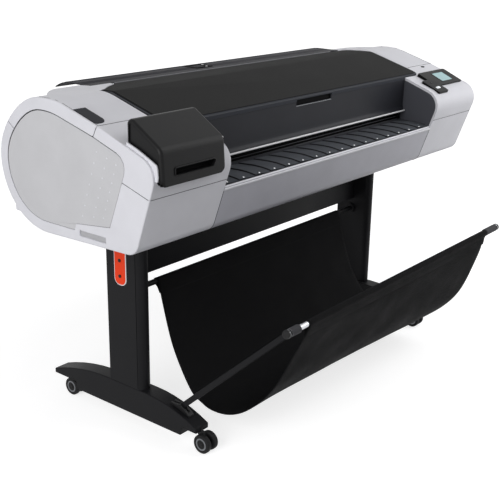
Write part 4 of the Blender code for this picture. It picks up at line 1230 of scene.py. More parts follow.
    def front_line(self) -> list[Point]:
        """Side view of an end's front: brow, slope, nose, front and chin.

        Returns:
            The outline, from the roof round to the underside.
        """
        back, front = self.roof[0][0], self.roof[-1][0]
        corners = [(back, BODY_TOP, 0.0), (front, BODY_TOP, self.brow_radius), (*TOP_SEAM, 0.0),
                   (*NOSE, self.nose_radius), (*self.chin, self.chin_radius),
                   (self.under_y, BODY_BOTTOM, 0.0)]
        return rounded(corners, 8)

    def seams(self, side: Side) -> None:
        """Fine dark lines where one cover meets the next and where the fascia begins.

        Args:
            side: Which end.
        """
        nose, top = Vector(NOSE), Vector(TOP_SEAM)
        slope = (Vector(self.chin) - nose).normalized()
        front = nose + slope * ((self.seam_front_z - nose.y) / slope.y)
        half = slope * self.seam / 2
        brow = (Vector(self.brow) - top).normalized() * self.seam / 2
        start = nose + slope * ((self.lip_z - nose.y) / slope.y)
        under = [p for p in self.front_line() if p[1] < self.lip_z and p[0] < self.lip_end_y]
        near, far = self.lip_x
        thin, end = self.seam_thin, self.seam_front_end
        runs = [([tuple(front - half), tuple(front + half)], thin, self.mouth, end),
                ([tuple(top - brow), tuple(top + brow)], thin, self.seam_brow_start, end),
                (self.seam_side, self.seam, *self.seam_out),
                (self.seam_panel, self.seam, *self.seam_out),
                ([tuple(start), *under], self.lip_line, self.mouth + near, self.mouth + far)]
        lines = [soft_prism(Axis.X, strip(run, width), low, high, FINE) for run, width, low, high in runs]
        self.add(f"{side.word}_cover_seams", mirrored(merged(lines), side), JOINT_AND_SHADOW)

    def mouth_border(self, side: Side) -> None:
        """Pale border round the dark cheek, inside the mouth of an end.

        Args:
            side: Which end.
        """
        outline = self.front_line()
        near, far = (self.mouth + x for x in self.border_x)
        ring = carved(soft_prism(Axis.X, inset(outline, self.border[0]), near, far, 0.0),
                      cutter(Axis.X, inset(outline, self.border[1]), near - SPARE, far + SPARE))
        window = cutter(Axis.X, plate(self.border_y, self.border_z, 0.0), near - SPARE, far + SPARE)
        ring = carved(ring, window, Cut.COMMON)
        self.add(f"{side.word}_mouth_border", mirrored(ring, side), SHELL)

    def plaque(self) -> None:
        """Dark rounded plaque let into the left brow."""
        low = Vector(TOP_SEAM)
        along = (Vector(self.brow) - low).normalized()
        normal = Vector((-along.y, along.x))
        (x0, x1), (v0, v1) = self.plaque_x, self.plaque_span
        outer, inner, top = self.plaque_radii
        outline = rounded([(x0, v0, outer), (x1, v0, inner), (x1, v1, top), (x0, v1, top)], 8)
        place = Matrix(((1, 0, 0, 0), (0, along.x, normal.x, low.x + STAND_Y), (0, along.y, normal.y, low.y),
                        (0, 0, 0, 1)))
        body = turn_solid(soft_prism(Axis.Z, outline, *self.plaque_lift, self.plaque_soft), place)
        self.shop.put("left_brow_plaque", body, PLAQUE, "machine")


@dataclass
class MiddleBody(Assembly):
    """Front fascia, platen with its segments, exit bars, base pan and the rear panel with its sockets."""

    half: float = 0.5842
    joint: float = 0.9984
    lip_at: Point = (-0.3463, 0.812)
    lip_outline: Sequence[Spot] = (
        (0.0030, -0.0100, 0.0005), (0.0110, -0.0100, 0.0005), (0.0110, 0.0040, 0.0010),
        (0.0060, 0.0040, 0.0030), (-0.0006, -0.0050, 0.0030))
    lip_soft: float = 0.001
    segment: float = 0.0730
    segments: int = 16
    platen_front: Point = (-0.3375, 0.8148)
    platen_back: Point = (-0.2310, 0.8240)
    platen_crown: float = 0.004
    platen_gap: float = 0.0012
    platen_steps: int = 10
    scale_sweep: float = -0.020
    scale_profile: Line = ((0.0, 0.0042), (0.12, 0.0036), (0.9, 0.0004), (1.0, 0.0001))
    scale_lift: float = 0.0022
    scale_thick: float = 0.0016
    gap_profile: Line = ((-0.0024, -0.0036), (-0.0002, -0.0006))
    gap_thick: float = 0.0005
    dot_radius: float = 0.0027
    dot_flat: Spot = (1.0, 1.0, 0.45)
    dot_facing: Spot = (0.29, 0.0, 0.0)
    dot_share: float = 0.05
    dot_lift: float = 0.0058
    first_dot: float = -0.5587
    dot_pitch: float = 0.0720
    exit_y: Point = (-0.206, -0.203)
    exit_z: Point = (0.828, 0.900)
    exit_gap: float = 0.001
    bars: Line = ((-0.2110, 0.8500), (-0.2150, 0.8400), (-0.2190, 0.8310))
    bar_radius: float = 0.0013
    bar_gap: float = 0.002
    back_y: float = 0.050
    vent_x: Sequence[float] = (-0.36, -0.02)
    vent_rows: int = 9
    vent_angle: float = 22.0
    vent_pitch: float = 4.2
    vent_sunk: float = 0.0006
    vent_radius: float = 0.0028
    vent_length: float = 0.150
    sockets: Sequence[tuple[str, float, float, Finish]] = (
        ("data_socket", 0.395, 0.034, BLACK), ("network_socket", 0.440, 0.024, STEEL))
    socket_tall: float = 0.022
    socket_angle: float = 50.0
    inlet_at: Point = (0.296, 0.715)
    inlet_outline: Sequence[Spot] = (
        (-0.0135, -0.010, 0.002), (0.0135, -0.010, 0.002), (0.0135, 0.005, 0.003), (0.008, 0.0105, 0.002),
        (-0.008, 0.0105, 0.002), (-0.0135, 0.005, 0.003))
    inlet_wall: float = 0.0012
    inlet_floor: float = 0.0004
    inlet_rise: Point = (-0.001, 0.0022)
    pins: Line = ((-0.007, -0.002), (0.0, 0.003), (0.007, -0.002))
    pin_half: Point = (0.001, 0.002)
    pin_rise: Point = (-0.001, 0.0018)

    def build(self) -> None:
        """Build the middle section."""
        self.shop.dress("base_pan", STEEL, soft=0.0008)
        fascia = self.shop.solid_of("front_fascia")
        self.shop.round_edges(fascia, Rounding(anywhere, 0.0010, 2))
        turn_solid(fascia, Matrix.Diagonal((self.joint, 1.0, 1.0, 1.0)))
        self.shop.put("front_fascia_skin", fascia, FASCIA, "machine", ["front_fascia"])
        self.shop.dress("output_platen", CHEEK, soft=0.0010)
        self.lip()
        self.platen()
        self.exit_bars()
        self.rear()
        self.data_sockets()
        self.inlet()

    def lip(self) -> None:
        """Pale rounded strip along the top of the fascia, its pale colour partly the trim's own and partly
        painted highlight on that edge.
        """
        y, z = self.lip_at
        outline = rounded([(y + out, z + rise, radius) for out, rise, radius in self.lip_outline])
        half = self.half * self.joint
        strip_along = soft_prism(Axis.X, outline, -half, half, self.lip_soft)
        self.add("fascia_lip", strip_along, TRIM_AND_HIGHLIGHT)

    def slope(self, share: float) -> Point:
        """Depth and height on the platen's face, from its front (0) to its back (1)."""
        here = Vector(self.platen_front).lerp(Vector(self.platen_back), share)
        return here.x, here.y + self.platen_crown * math.sin(math.pi * share)

    def platen(self) -> None:
        """Overlapping segments of the platen, strips of painted shadow under them, and the row of pale dots,
        which glow as painted light.
        """
        scales, shadows = [], []
        for k in range(self.segments):
            solid, edge = self.scale(-self.segments / 2 * self.segment + k * self.segment)
            scales.append(solid)
            shadows.append(self.scale_gap(edge))
        self.shop.put("platen_segments", merged(scales), PLATEN, "machine", sharp=30.0)
        self.shop.put("platen_lines", merged(shadows), JOINT_AND_SHADOW, "machine", sharp=30.0)
        # the dots glow as painted light
        y, z = self.slope(self.dot_share)
        spots = [at(self.first_dot + k * self.dot_pitch, y, z + self.dot_lift) for k in range(self.segments)]
        sizes = {"Radius": self.dot_radius, "Flatness": self.dot_flat, "Facing": self.dot_facing}
        self.shop.repeat(Repeat.DOMES, "platen_dots", scatter(spots), sizes, DOT_GLOW, "machine")

    def scale(self, left: float) -> tuple[Solid, list[Vector]]:
        """One segment of the platen, raised along its left edge.

        Args:
            left: Where it starts, at the platen's front.

        Returns:
            The segment, and the points along its raised edge.
        """
        solid = bmesh.new()
        rows = []
        low, high = -self.half + self.platen_gap, self.half - self.platen_gap
        for i in range(self.platen_steps + 1):
            share = i / self.platen_steps
            y, z = self.slope(share)
            sweep = self.scale_sweep * math.sin(math.pi * share / 2) ** 2
            row = []
            for across, rise in self.scale_profile:
                x = max(low, min(high, left + sweep + across * self.segment))
                row.append(solid.verts.new(at(x, y, z + self.scale_lift + rise)))
            rows.append(row)
        edge = [row[0].co.copy() for row in rows]
        return self.skin(solid, rows, self.scale_thick), edge

    def scale_gap(self, run: Sequence[Vector]) -> Solid:
        """Dark strip of painted shadow under the raised edge of a platen segment.

        Args:
            run: The points along that edge.

        Returns:
            The thin dark strip.
        """
        solid = bmesh.new()
        rows = [[solid.verts.new(p + Vector((dx, 0.0, dz))) for dx, dz in self.gap_profile] for p in run]
        return self.skin(solid, rows, self.gap_thick)

    @staticmethod
    def skin(solid: Solid, rows: Sequence[Sequence[bmesh.types.BMVert]], thickness: float) -> Solid:
        """Join rows of vertices to a sheet and give it a thickness.

        Args:
            solid: The mesh of the vertices, changed in place.
            rows: The rows, one behind the other.
            thickness: Thickness of the sheet.

        Returns:
            The closed solid.
        """
        for here, there in zip(rows, rows[1:]):
            for j in range(len(here) - 1):
                solid.faces.new((here[j], here[j + 1], there[j + 1], there[j]))
        bmesh.ops.solidify(solid, geom=solid.faces[:], thickness=thickness)
        bmesh.ops.recalc_face_normals(solid, faces=solid.faces)
        return solid

    def exit_bars(self) -> None:
        """Black backing of the paper exit, painted shade in the slot, with thin bars along it."""
        half = self.half - self.exit_gap
        back = soft_prism(Axis.X, plate(self.exit_y, self.exit_z, 0.001), -half, half, 0.0005)
        self.add("exit_backing", back, BLACK_AND_SHADE)
        sizes = {"Radius": self.bar_radius, "Length": 2 * (self.half - self.bar_gap), "Facing": ALONG_X}
        spots = [at(0.0, y, z) for y, z in self.bars]
        self.shop.repeat(Repeat.BARS, "exit_bars", scatter(spots), sizes, SLEEVE, "machine")

    def on_back(self, angle: float, lift: float) -> Point:
        """Depth and height on the round back, at an angle below level and a distance outside the skin."""
        radius = (BODY_TOP - BODY_BOTTOM) / 2
        return arc((self.back_y, BODY_BOTTOM + radius), radius + lift, -angle, -angle, 1)[0]

    def rear(self) -> None:
        """Rear panel with two banks of vents, whose openings are black bars of painted shade."""
        self.shop.dress("rear_panel", SHELL, soft=0.0010)
        spots = []
        for x in self.vent_x:
            for row in range(self.vent_rows):
                spots.append(at(x, *self.on_back(self.vent_angle + self.vent_pitch * row, -self.vent_sunk)))
        sizes = {"Radius": self.vent_radius, "Length": self.vent_length, "Facing": ALONG_X}
        self.shop.repeat(Repeat.BARS, "rear_vents", scatter(spots), sizes, BLACK_AND_SHADE, "machine")

    def data_sockets(self) -> None:
        """Two data sockets on the round back, each a framed hole with a tongue in it."""
        tall = self.socket_tall
        tilt = Matrix.Rotation(math.radians(-self.socket_angle), 4, "X")
        for name, x, wide, finish in self.sockets:
            place = Matrix.Translation(at(x, *self.on_back(self.socket_angle, 0.0))) @ tilt
            outline = plate((-wide / 2, wide / 2), (-tall / 2, tall / 2), 0.002)
            opening = plate((-wide / 3, wide / 3), (-tall / 4, tall / 4), 0.001)
            frame = carved(soft_prism(Axis.Y, outline, -0.004, 0.0016, 0.0008),
                           cutter(Axis.Y, opening, -0.003, SPARE))
            self.shop.put(f"{name}_plate", turn_solid(frame, place), finish, "machine")
            core = plate((-wide / 3.4, wide / 3.4), (-tall / 9, tall / 9), 0.0005)
            tongue = soft_prism(Axis.Y, core, -0.004, 0.0, 0.0003)
            self.shop.put(f"{name}_tongue", turn_solid(tongue, place), BLACK, "machine")

    def inlet(self) -> None:
        """Mains socket on the power supply's duct: a recessed shell with three pins."""
        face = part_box("power_supply")[1][1]
        x, z = self.inlet_at
        outline = rounded([(x + across, z + rise, radius) for across, rise, radius in self.inlet_outline])
        low, high = (face + rise for rise in self.inlet_rise)
        shell = carved(soft_prism(Axis.Y, inset(outline, -self.inlet_wall), low, high, 0.0006),
                       cutter(Axis.Y, outline, face - self.inlet_floor, face + SPARE))
        self.shop.put("mains_socket", shell, BLACK, "machine")
        wide, tall = self.pin_half
        low, high = (face + rise for rise in self.pin_rise)
        pins = []
        for across, rise in self.pins:
            pin_x, pin_z = x + across, z + rise
            outline = plate((pin_x - wide, pin_x + wide), (pin_z - tall, pin_z + tall), 0.0004)
            pins.append(soft_prism(Axis.Y, outline, low, high, 0.0003))
        self.shop.put("mains_pins", merged(pins), ALLOY, "machine")


@dataclass
class Lid(Assembly):
    """Lid frame, matte top panel, smoked window with a near-white lip bar painted as its highlight, finger
    grip and the ledge at its rear corner.
    """

    window_half: float = 0.578
    window_line: Line = (
        (-0.2268, 0.9760), (-0.2266, 0.9400), (-0.2262, 0.9000), (-0.2262, 0.8830), (-0.2276, 0.8735),
        (-0.2312, 0.8665), (-0.2362, 0.8630))
    window_thick: float = 0.0012
    lip_at: Point = (-0.2362, 0.8622)
    lip_radius: float = 0.0030
    band_y: Point = (-0.2292, -0.2240)
    band_z: Point = (0.9735, 0.9850)
    grip_half: float = 0.098
    grip_z: Point = (0.9610, 0.9805)
    grip_corner: float = 0.002
    grip_reach: Point = (-0.3, -0.2)
    pocket_y: Point = (-0.2215, -0.2185)
    pocket_out: float = 0.004
    edge_y: Point = (-0.2280, -0.2225)
    edge_z: Point = (-0.0022, 0.0004)
    trim_y: Point = (0.1040, 0.1105)
    trim_z: Point = (1.0420, 1.0486)
    trim_x: Point = (-0.5600, 0.5780)
    left: float = -0.6942
    panel_left: float = -0.6740
    corner: Line = (
        (-0.6790, 0.0340), (-0.6640, 0.0375), (-0.6200, 0.0690), (-0.5700, 0.0960), (-0.5400, 0.1250))
    cut_left: float = -0.720
    cut_y: Point = (-0.300, 0.200)
    cut_z: Point = (0.90, 1.10)
    edge_line: Line = ((0.0320, 1.0463), (-0.0100, 1.0478), (-0.2230, 0.9854))
    line_thick: float = 0.0014
    line_gap: float = 0.0006
    line_wide: Point = (0.0040, 0.0050)
    ledge_gap: float = 0.0016
    ledge_over: float = 0.0010
    ledge_rear: float = 0.1134
    ledge_z: Point = (1.0300, 1.0478)

    def build(self) -> None:
        """Build the lid."""
        front, rear = self.cut_y
        for node, finish, left in (("window_lid", LID_FRAME, self.cut_left),
                                   ("lid_top_panel", LID_MATTE, self.panel_left)):
            plan = [(self.cut_left, front), (left, front), (left, self.corner[0][1]), *self.corner,
                    (self.cut_left, rear)]
            solid = carved(self.shop.solid_of(node), shifted(cutter(Axis.Z, plan, *self.cut_z)))
            self.shop.round_edges(solid, Rounding(anywhere, SOFT_EDGE, 2))
            self.shop.put(f"{node}_skin", solid, finish, "lid", [node])
        self.left_band()
        self.window()
        self.front_band()
        # Grey strip along the lid's rear edge, lighter than the lid as a painted highlight on that edge.
        trim = soft_prism(Axis.X, plate(self.trim_y, self.trim_z, 0.0012), *self.trim_x, 0.001)
        self.add("lid_rear_trim", trim, SLEEVE, "lid")

    def left_band(self) -> None:
        """Dark lines along the lid's left edge and its panel, and the pale ledge at the cut corner."""
        gap = self.line_gap
        outer, inner = self.line_wide
        spans = ((self.left + gap, self.left + outer), (self.panel_left - inner, self.panel_left - gap))
        outline = strip(self.edge_line, self.line_thick)
        lines = [soft_prism(Axis.X, outline, low, high, 0.0003) for low, high in spans]
        self.add("lid_left_lines", merged(lines), BLACK_AND_SHADE, "lid", sharp=40.0)
        edge = [(x - self.ledge_gap, y + self.ledge_gap) for x, y in self.corner[:-1]]
        left = self.left - self.ledge_over
        plan = [(left, edge[0][1]), *edge, (edge[-1][0], self.ledge_rear), (left, self.ledge_rear)]
        ledge = soft_prism(Axis.Z, plan, *self.ledge_z, 0.0008)
        self.add("left_roof_ledge", ledge, SHELL)

    def notch(self) -> list[Point]:
        """Outline of the grip's notch, from the front."""
        return plate((-self.grip_half, self.grip_half), self.grip_z, self.grip_corner)

    def window(self) -> None:
        """Smoked window that curves out to a near-white lip bar, a painted highlight along its foot, cut away
        behind the grip.
        """
        half = self.window_half
        pane = soft_prism(Axis.X, strip(eased(self.window_line), self.window_thick), -half, half, 0.0003)
        pane = carved(pane, cutter(Axis.Y, self.notch(), *self.grip_reach))
        self.add("lid_window", pane, WINDOW, "lid", sharp=60.0)
        lip = bar(Axis.X, self.lip_at, self.lip_radius, -half, half, 0.001)
        self.add("lid_window_lip", lip, LIP_HIGHLIGHT, "lid")

    def front_band(self) -> None:
        """Band under the lid's front edge with the grip's notch, a black box of painted shade in its pocket,
        and bright lower edge.
        """
        half = self.window_half
        band = soft_prism(Axis.X, plate(self.band_y, self.band_z, 0.0012), -half, half, 0.0005)
        band = carved(band, cutter(Axis.Y, self.notch(), *self.grip_reach))
        self.add("lid_front_band", band, LID_FRAME, "lid")
        # black box behind the notch: painted shade in the grip's pocket
        pocket = soft_prism(Axis.Y, inset(self.notch(), -self.pocket_out), *self.pocket_y, 0.0005)
        self.add("lid_grip_pocket", pocket, BLACK_AND_SHADE, "lid")
        low, high = (self.grip_z[0] + rise for rise in self.edge_z)
        outline = plate(self.edge_y, (low, high), 0.0006)
        edge = soft_prism(Axis.X, outline, -self.grip_half, self.grip_half, 0.0004)
        self.add("lid_grip_edge", edge, HUB, "lid")


@dataclass
class InkCover(Assembly):
    """Hood over the ink cartridges, with a framed finger slot."""

    span: Point = (-0.870, -0.6268)
    rear: float = -0.262
    top: float = 1.043
    rear_foot: float = 0.971
    brow: Point = (-0.381, 0.968)
    foot: Point = (-0.388, 0.871)
    radii: Sequence[float] = (0.004, 0.014, 0.028, 0.002)
    soft: float = 0.010
    hollow_foot: float = 0.7
    hollow_radii: Point = (0.011, 0.024)
    hollow_soft: float = 0.009
    corner: Point = (0.014, 0.036)
    corner_top: float = 1.2
    reach: Point = (-0.5, 0.0)
    slot_x: Point = (-0.823, -0.668)
    slot_z: Point = (0.898, 0.916)
    slot_slant: float = 0.012
    slot_corner: float = 0.004
    slot_deep: float = 0.030
    slot_soft: float = 0.0012
    slot_near: Point = (0.002, 0.020)
    tray_out: Point = (0.003, 0.0006)
    tray_y: Point = (0.0045, 0.024)
    tray_soft: Point = (0.002, 0.004)
    rim_at: float = 0.0014
    rim_out: Point = (0.0028, 0.0002)
    rim_y: Point = (-0.0022, 0.0010)
    rim_soft: float = 0.0009
    pivot_at: Point = (0.012, -0.006)
    pivot_radius: float = 0.0045
    pivot_x: Point = (-0.002, 0.0030)

    def build(self) -> None:
        """Build the hood."""
        slot = self.slot()
        front = self.foot[0]
        hood = carved(self.hood(), cutter(Axis.Y, slot, self.reach[0], front + self.slot_deep))
        self.shop.round_edges(hood, Rounding(self.near_slot, self.slot_soft, 2), 40.0)
        self.add("ink_cover_hood", hood, INK_BLACK, "ink_cover", ["ink_cover"])
        # The tray behind the finger slot is black as painted shade in the recess.
        (wall, room), (soft, hollow_soft) = self.tray_out, self.tray_soft
        low, high = (front + depth for depth in self.tray_y)
        tray = carved(soft_prism(Axis.Y, inset(slot, -wall), low, high, soft),
                      soft_prism(Axis.Y, inset(slot, -room), front - SPARE, high - WALL, hollow_soft))
        self.add("ink_cover_slot_tray", tray, BLACK_AND_SHADE, "ink_cover")
        # White pin at the hood's pivot: its white is painted highlight for the bright spot there.
        centre = (self.brow[0] + self.pivot_at[0], self.brow[1] + self.pivot_at[1])
        low, high = (self.span[1] + x for x in self.pivot_x)
        pivot = bar(Axis.X, centre, self.pivot_radius, low, high, 0.0015)
        self.add("ink_cover_pivot", pivot, WHITE, "ink_cover")
        self.slot_rim(slot)

    def hood(self) -> Solid:
        """The hollow hood, without its slot.

        Returns:
            The solid, with its depths measured from the posts.
        """
        (left, right), (brow_y, brow_z), (foot_y, foot_z) = self.span, self.brow, self.foot
        foot_r, top_r, brow_r, front_r = self.radii
        outline = rounded([(self.rear, self.rear_foot, foot_r), (self.rear, self.top, top_r),
                           (brow_y, brow_z, brow_r), (foot_y, foot_z, front_r)], 8)
        inner_top, inner_brow = self.hollow_radii
        hollow = rounded([(self.rear - WALL, self.hollow_foot, 0.0),
                          (self.rear - WALL, self.top - WALL, inner_top),
                          (brow_y + WALL, brow_z - WALL, inner_brow),
                          (foot_y + WALL, self.hollow_foot, 0.0)], 6)
        front = rounded([(left, foot_z, self.corner[0]), (right, foot_z, self.corner[1]),
                         (right, self.corner_top, 0.0), (left, self.corner_top, 0.0)], 8)
        hood = soft_prism(Axis.X, outline, left, right, self.soft, 6)
        hood = carved(hood, cutter(Axis.Y, front, *self.reach), Cut.COMMON)
        return carved(hood, soft_prism(Axis.X, hollow, left + WALL, right - WALL, self.hollow_soft, 4))

    def slot(self) -> list[Point]:
        """Outline of the finger slot from the front, slanted at its right end.

        Returns:
            Its points in width and height.
        """
        (x0, x1), (z0, z1), radius = self.slot_x, self.slot_z, self.slot_corner
        foot = x1 - self.slot_slant
        return rounded([(x0, z0, radius), (foot, z0, radius), (x1, z1, radius), (x0, z1, radius)])

    def slot_rim(self, slot: Line) -> None:
        """Raised rim round the finger slot.

        Args:
            slot: Outline of the slot.
        """
        foot = self.slot_z[0]
        slant = -math.atan2(self.brow[0] - self.foot[0], self.brow[1] - self.foot[1])
        lean = Matrix.Translation((0.0, self.foot[0] + self.rim_at, foot)) @ Matrix.Rotation(slant, 4, "X")
        flat = [(x, z - foot) for x, z in slot]
        outer, inner = self.rim_out
        ring = carved(soft_prism(Axis.Y, inset(flat, -outer), *self.rim_y, self.rim_soft),
                      cutter(Axis.Y, inset(flat, -inner), -SPARE, SPARE))
        self.add("ink_cover_slot_rim", turn_solid(ring, lean), INK_BLACK, "ink_cover")

    def near_slot(self, edge: Edge) -> bool:
        """Whether an edge lies on the rim of the finger slot.

        Args:
            edge: An edge of the hood.

        Returns:
            True for such an edge.
        """
        middle = (edge.verts[0].co + edge.verts[1].co) / 2
        near, deep = self.slot_near
        in_width = self.slot_x[0] - near < middle.x < self.slot_x[1] + near
        in_height = self.slot_z[0] - near < middle.z < self.slot_z[1] + near
        return in_width and in_height and middle.y < self.foot[0] + deep


@dataclass
class RollBay(Assembly):
    """Roll cover with its ribs and latch, the spindle under it and the guide plate in front of the roll."""

    centre: Point = (0.205, 0.9185)
    radius: float = 0.130
    half: float = 0.6472
    flat_drop: float = 0.0015
    flat_deep: float = 0.087
    ribs: Sequence[float] = (62.0, 67.0, 72.0, 77.0, 82.0, 87.0, 103.0, 108.0, 113.0)
    rib_radius: float = 0.0016
    rib_sunk: float = 0.0007
    rib_gap: float = 0.006
    latch_x: Point = (-0.152, -0.066)
    latch_at: Point = (0.178, 1.0480)
    latch_deep: float = 0.034
    latch_corner: Point = (0.010, 0.006)
    latch_frame: Point = (0.016, 0.014)
    latch_z: Point = (-0.004, 0.0018)
    latch_floor: float = -0.0005
    rivets: Line = ((0.031, 0.008), (0.013, -0.026))
    rivet_radius: float = 0.0040
    rivet_z: Point = (0.0010, 0.0028)
    guide: Line = (
        (0.1080, 1.0300), (0.1080, 0.9150), (0.1120, 0.8800), (0.1280, 0.8520), (0.1600, 0.8380),
        (0.2200, 0.8350), (0.2700, 0.8360))
    guide_half: float = 0.5800
    guide_thick: float = 0.0015

    def build(self) -> None:
        """Build the roll bay."""
        self.shop.dress("roll_cover", ROLL_DARK, soft=0.0010)
        self.shop.dress("roll_spindle", BLACK, soft=0.0010)
        spots = []
        for angle in self.ribs:
            y, z = arc(self.centre, self.radius, angle, angle, 1)[0]
            spots.append(at(0.0, y, self.cover_top(y, z) - self.rib_sunk))
        sizes = {"Radius": self.rib_radius, "Length": 2 * (self.half - self.rib_gap), "Facing": ALONG_X}
        self.shop.repeat(Repeat.BARS, "roll_cover_ribs", scatter(spots), sizes, ROLL_DARK, "roll_cover")
        outline = strip(eased(self.guide), self.guide_thick)
        guide = soft_prism(Axis.X, outline, -self.guide_half, self.guide_half, 0.0003)
        self.add("roll_bay_guide", guide, BLACK, sharp=40.0)
        self.latch()

    def cover_top(self, y: float, z: float) -> float:
        """Height of the cover's skin: z on its arc, or that of the flat towards its hinge."""
        flat = self.centre[1] + self.radius - self.flat_drop * (self.centre[0] - y) / self.flat_deep
        return z if y > self.centre[0] else flat

    def latch(self) -> None:
        """Black pull handle on the front of the roll cover, with two bright rivets."""
        middle = (self.latch_x[0] + self.latch_x[1]) / 2
        wide = (self.latch_x[1] - self.latch_x[0]) / 2
        deep = self.latch_deep
        (corner, hole_corner), (side, end) = self.latch_corner, self.latch_frame
        outline = plate((-wide, wide), (-deep, deep), corner)
        hole = plate((-wide + side, wide - side), (-deep + end, deep - end), hole_corner)
        ring = carved(soft_prism(Axis.Z, outline, *self.latch_z, 0.0012),
                      cutter(Axis.Z, hole, self.latch_floor, SPARE))
        place = Matrix.Translation(at(middle, *self.latch_at))
        self.shop.put("roll_cover_latch", turn_solid(ring, place), BLACK_AND_SHADE, "roll_cover")
        rivets = [bar(Axis.Z, spot, self.rivet_radius, *self.rivet_z, 0.0008) for spot in self.rivets]
        self.shop.put("roll_cover_rivets", turn_solid(merged(rivets), place), WHITE, "roll_cover")


@dataclass
class Mechanism(Assembly):
    """What is under the lid: plates, rollers, rail, carriage, belt, ink supply and electronics."""

    pieces: Sequence[tuple[str, Finish, float]] = (
        ("left_side_plate", STEEL, 0.0007), ("right_side_plate", STEEL, 0.0007),
        ("feed_roller", RUBBER, 0.0010), ("pinch_roller", RUBBER, 0.0008), ("feed_motor", BLACK, 0.0015),
        ("carriage_rail", ALLOY, 0.0010), ("carriage", BLACK, 0.0018), ("carriage_motor", BLACK, 0.0015),
        ("drive_pulley", STEEL, 0.0005), ("idler_pulley", STEEL, 0.0005),
        ("cartridge_rack", BLACK, 0.0012), ("ink_cartridges", INK_BODY, 0.0012),
        ("service_station", BLACK, 0.0015), ("main_board", BOARD, 0.0004),
        ("power_supply", STEEL, 0.0010), ("carriage_belt", RUBBER, 0.0003))
    cap_side: float = 0.010
    cap_y: Point = (0.012, 0.085)
    cap_z: Point = (-0.001, 0.0008)
    clips: int = 3
    first_clip: float = 0.028
    clip_pitch: float = 0.042
    clip_half: float = 0.012
    clip_y: Point = (0.020, 0.060)
    clip_z: Point = (0.0002, 0.0016)

    def build(self) -> None:
        """Build the mechanism."""
        for node, finish, soft in self.pieces:
            self.shop.dress(node, finish, soft=soft)
        self.carriage_cover()

    def carriage_cover(self) -> None:
        """Raised cap and grey head clips on the print carriage."""
        (left, front, _), (right, _, top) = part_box("carriage")
        deep = (front + self.cap_y[0], front + self.cap_y[1])
        outline = plate((left + self.cap_side, right - self.cap_side), deep, 0.008)
        low, high = (top + z for z in self.cap_z)
        self.shop.put("carriage_cap", soft_prism(Axis.Z, outline, low, high, 0.0006), INK_BLACK, "carriage")
        deep = (front + self.clip_y[0], front + self.clip_y[1])
        low, high = (top + z for z in self.clip_z)
        clips = []
        for k in range(self.clips):
            x = left + self.first_clip + k * self.clip_pitch
            outline = plate((x - self.clip_half, x + self.clip_half), deep, 0.003)
            clips.append(soft_prism(Axis.Z, outline, low, high, 0.0005))
        self.shop.put("carriage_head_clips", merged(clips), SLEEVE, "carriage")


@dataclass
class Controls(Assembly):
    """Control panel on the right slope: plate, display with bezel, keys and the small sensor."""

    panel_v: Point = (-0.066, -0.196)
    panel_lift: Point = (0.012, 0.003)
    display_x: Point = (0.734, 0.817)
    display_v: Point = (-0.140, -0.084)
    display_corner: float = 0.002
    bezel_out: float = 0.003
    bezel_in: float = 0.0012
    bezel_z: Point = (-0.0004, 0.0008)
    sensor: Spot = (0.7936, -0.1826, 0.9969)
    sensor_radius: float = 0.0058
    sensor_z: Point = (-0.001, 0.0010)
    sensor_tilt: float = 20.0
    sensor_stretch: float = 2.0

    def build(self) -> None:
        """Build the controls."""
        for node, finish, soft in (("control_panel", PANEL_BLACK, 0.0012), ("display_screen", SCREEN, 0.0003),
                                   ("power_button", LIT, 0.0005), ("menu_button", BLACK, 0.0005)):
            self.shop.dress(node, finish, soft=soft)
        outline = plate(self.display_x, self.display_v, self.display_corner)
        bezel = carved(soft_prism(Axis.Z, inset(outline, -self.bezel_out), *self.bezel_z, 0.0004),
                       cutter(Axis.Z, inset(outline, self.bezel_in), -SPARE, SPARE))
        self.shop.put("display_bezel", turn_solid(bezel, self.place()), BLACK, "machine")
        sensor = bar(Axis.Z, (0.0, 0.0), self.sensor_radius, *self.sensor_z, 0.0006)
        turn_solid(sensor, Matrix.Diagonal((self.sensor_stretch, 1.0, 1.0, 1.0)))
        turn_solid(sensor, Matrix.Rotation(math.radians(self.sensor_tilt), 4, "X"))
        turn_solid(sensor, Matrix.Translation(at(*self.sensor)))
        self.shop.put("brow_sensor", sensor, PANEL_BLACK, "machine")

    def place(self) -> Matrix:
        """Matrix from the panel's own face to the model's frame.

        Returns:
            The matrix, with X across the panel, Y up its slope and Z out of it.
        """
        across = Vector((1.0, 0.0, 0.0))
        uphill = (Vector((0.0, *TOP_SEAM)) - Vector((0.0, *NOSE))).normalized()
        out = across.cross(uphill)
        lean = math.atan2(self.panel_lift[0] - self.panel_lift[1], self.panel_v[0] - self.panel_v[1])
        along = uphill * math.cos(lean) + out * math.sin(lean)
        place = Matrix((across, along, across.cross(along))).transposed().to_4x4()
        place.translation = at(0.0, *TOP_SEAM) + out * (self.panel_lift[0] - self.panel_v[0] * math.tan(lean))
        return place


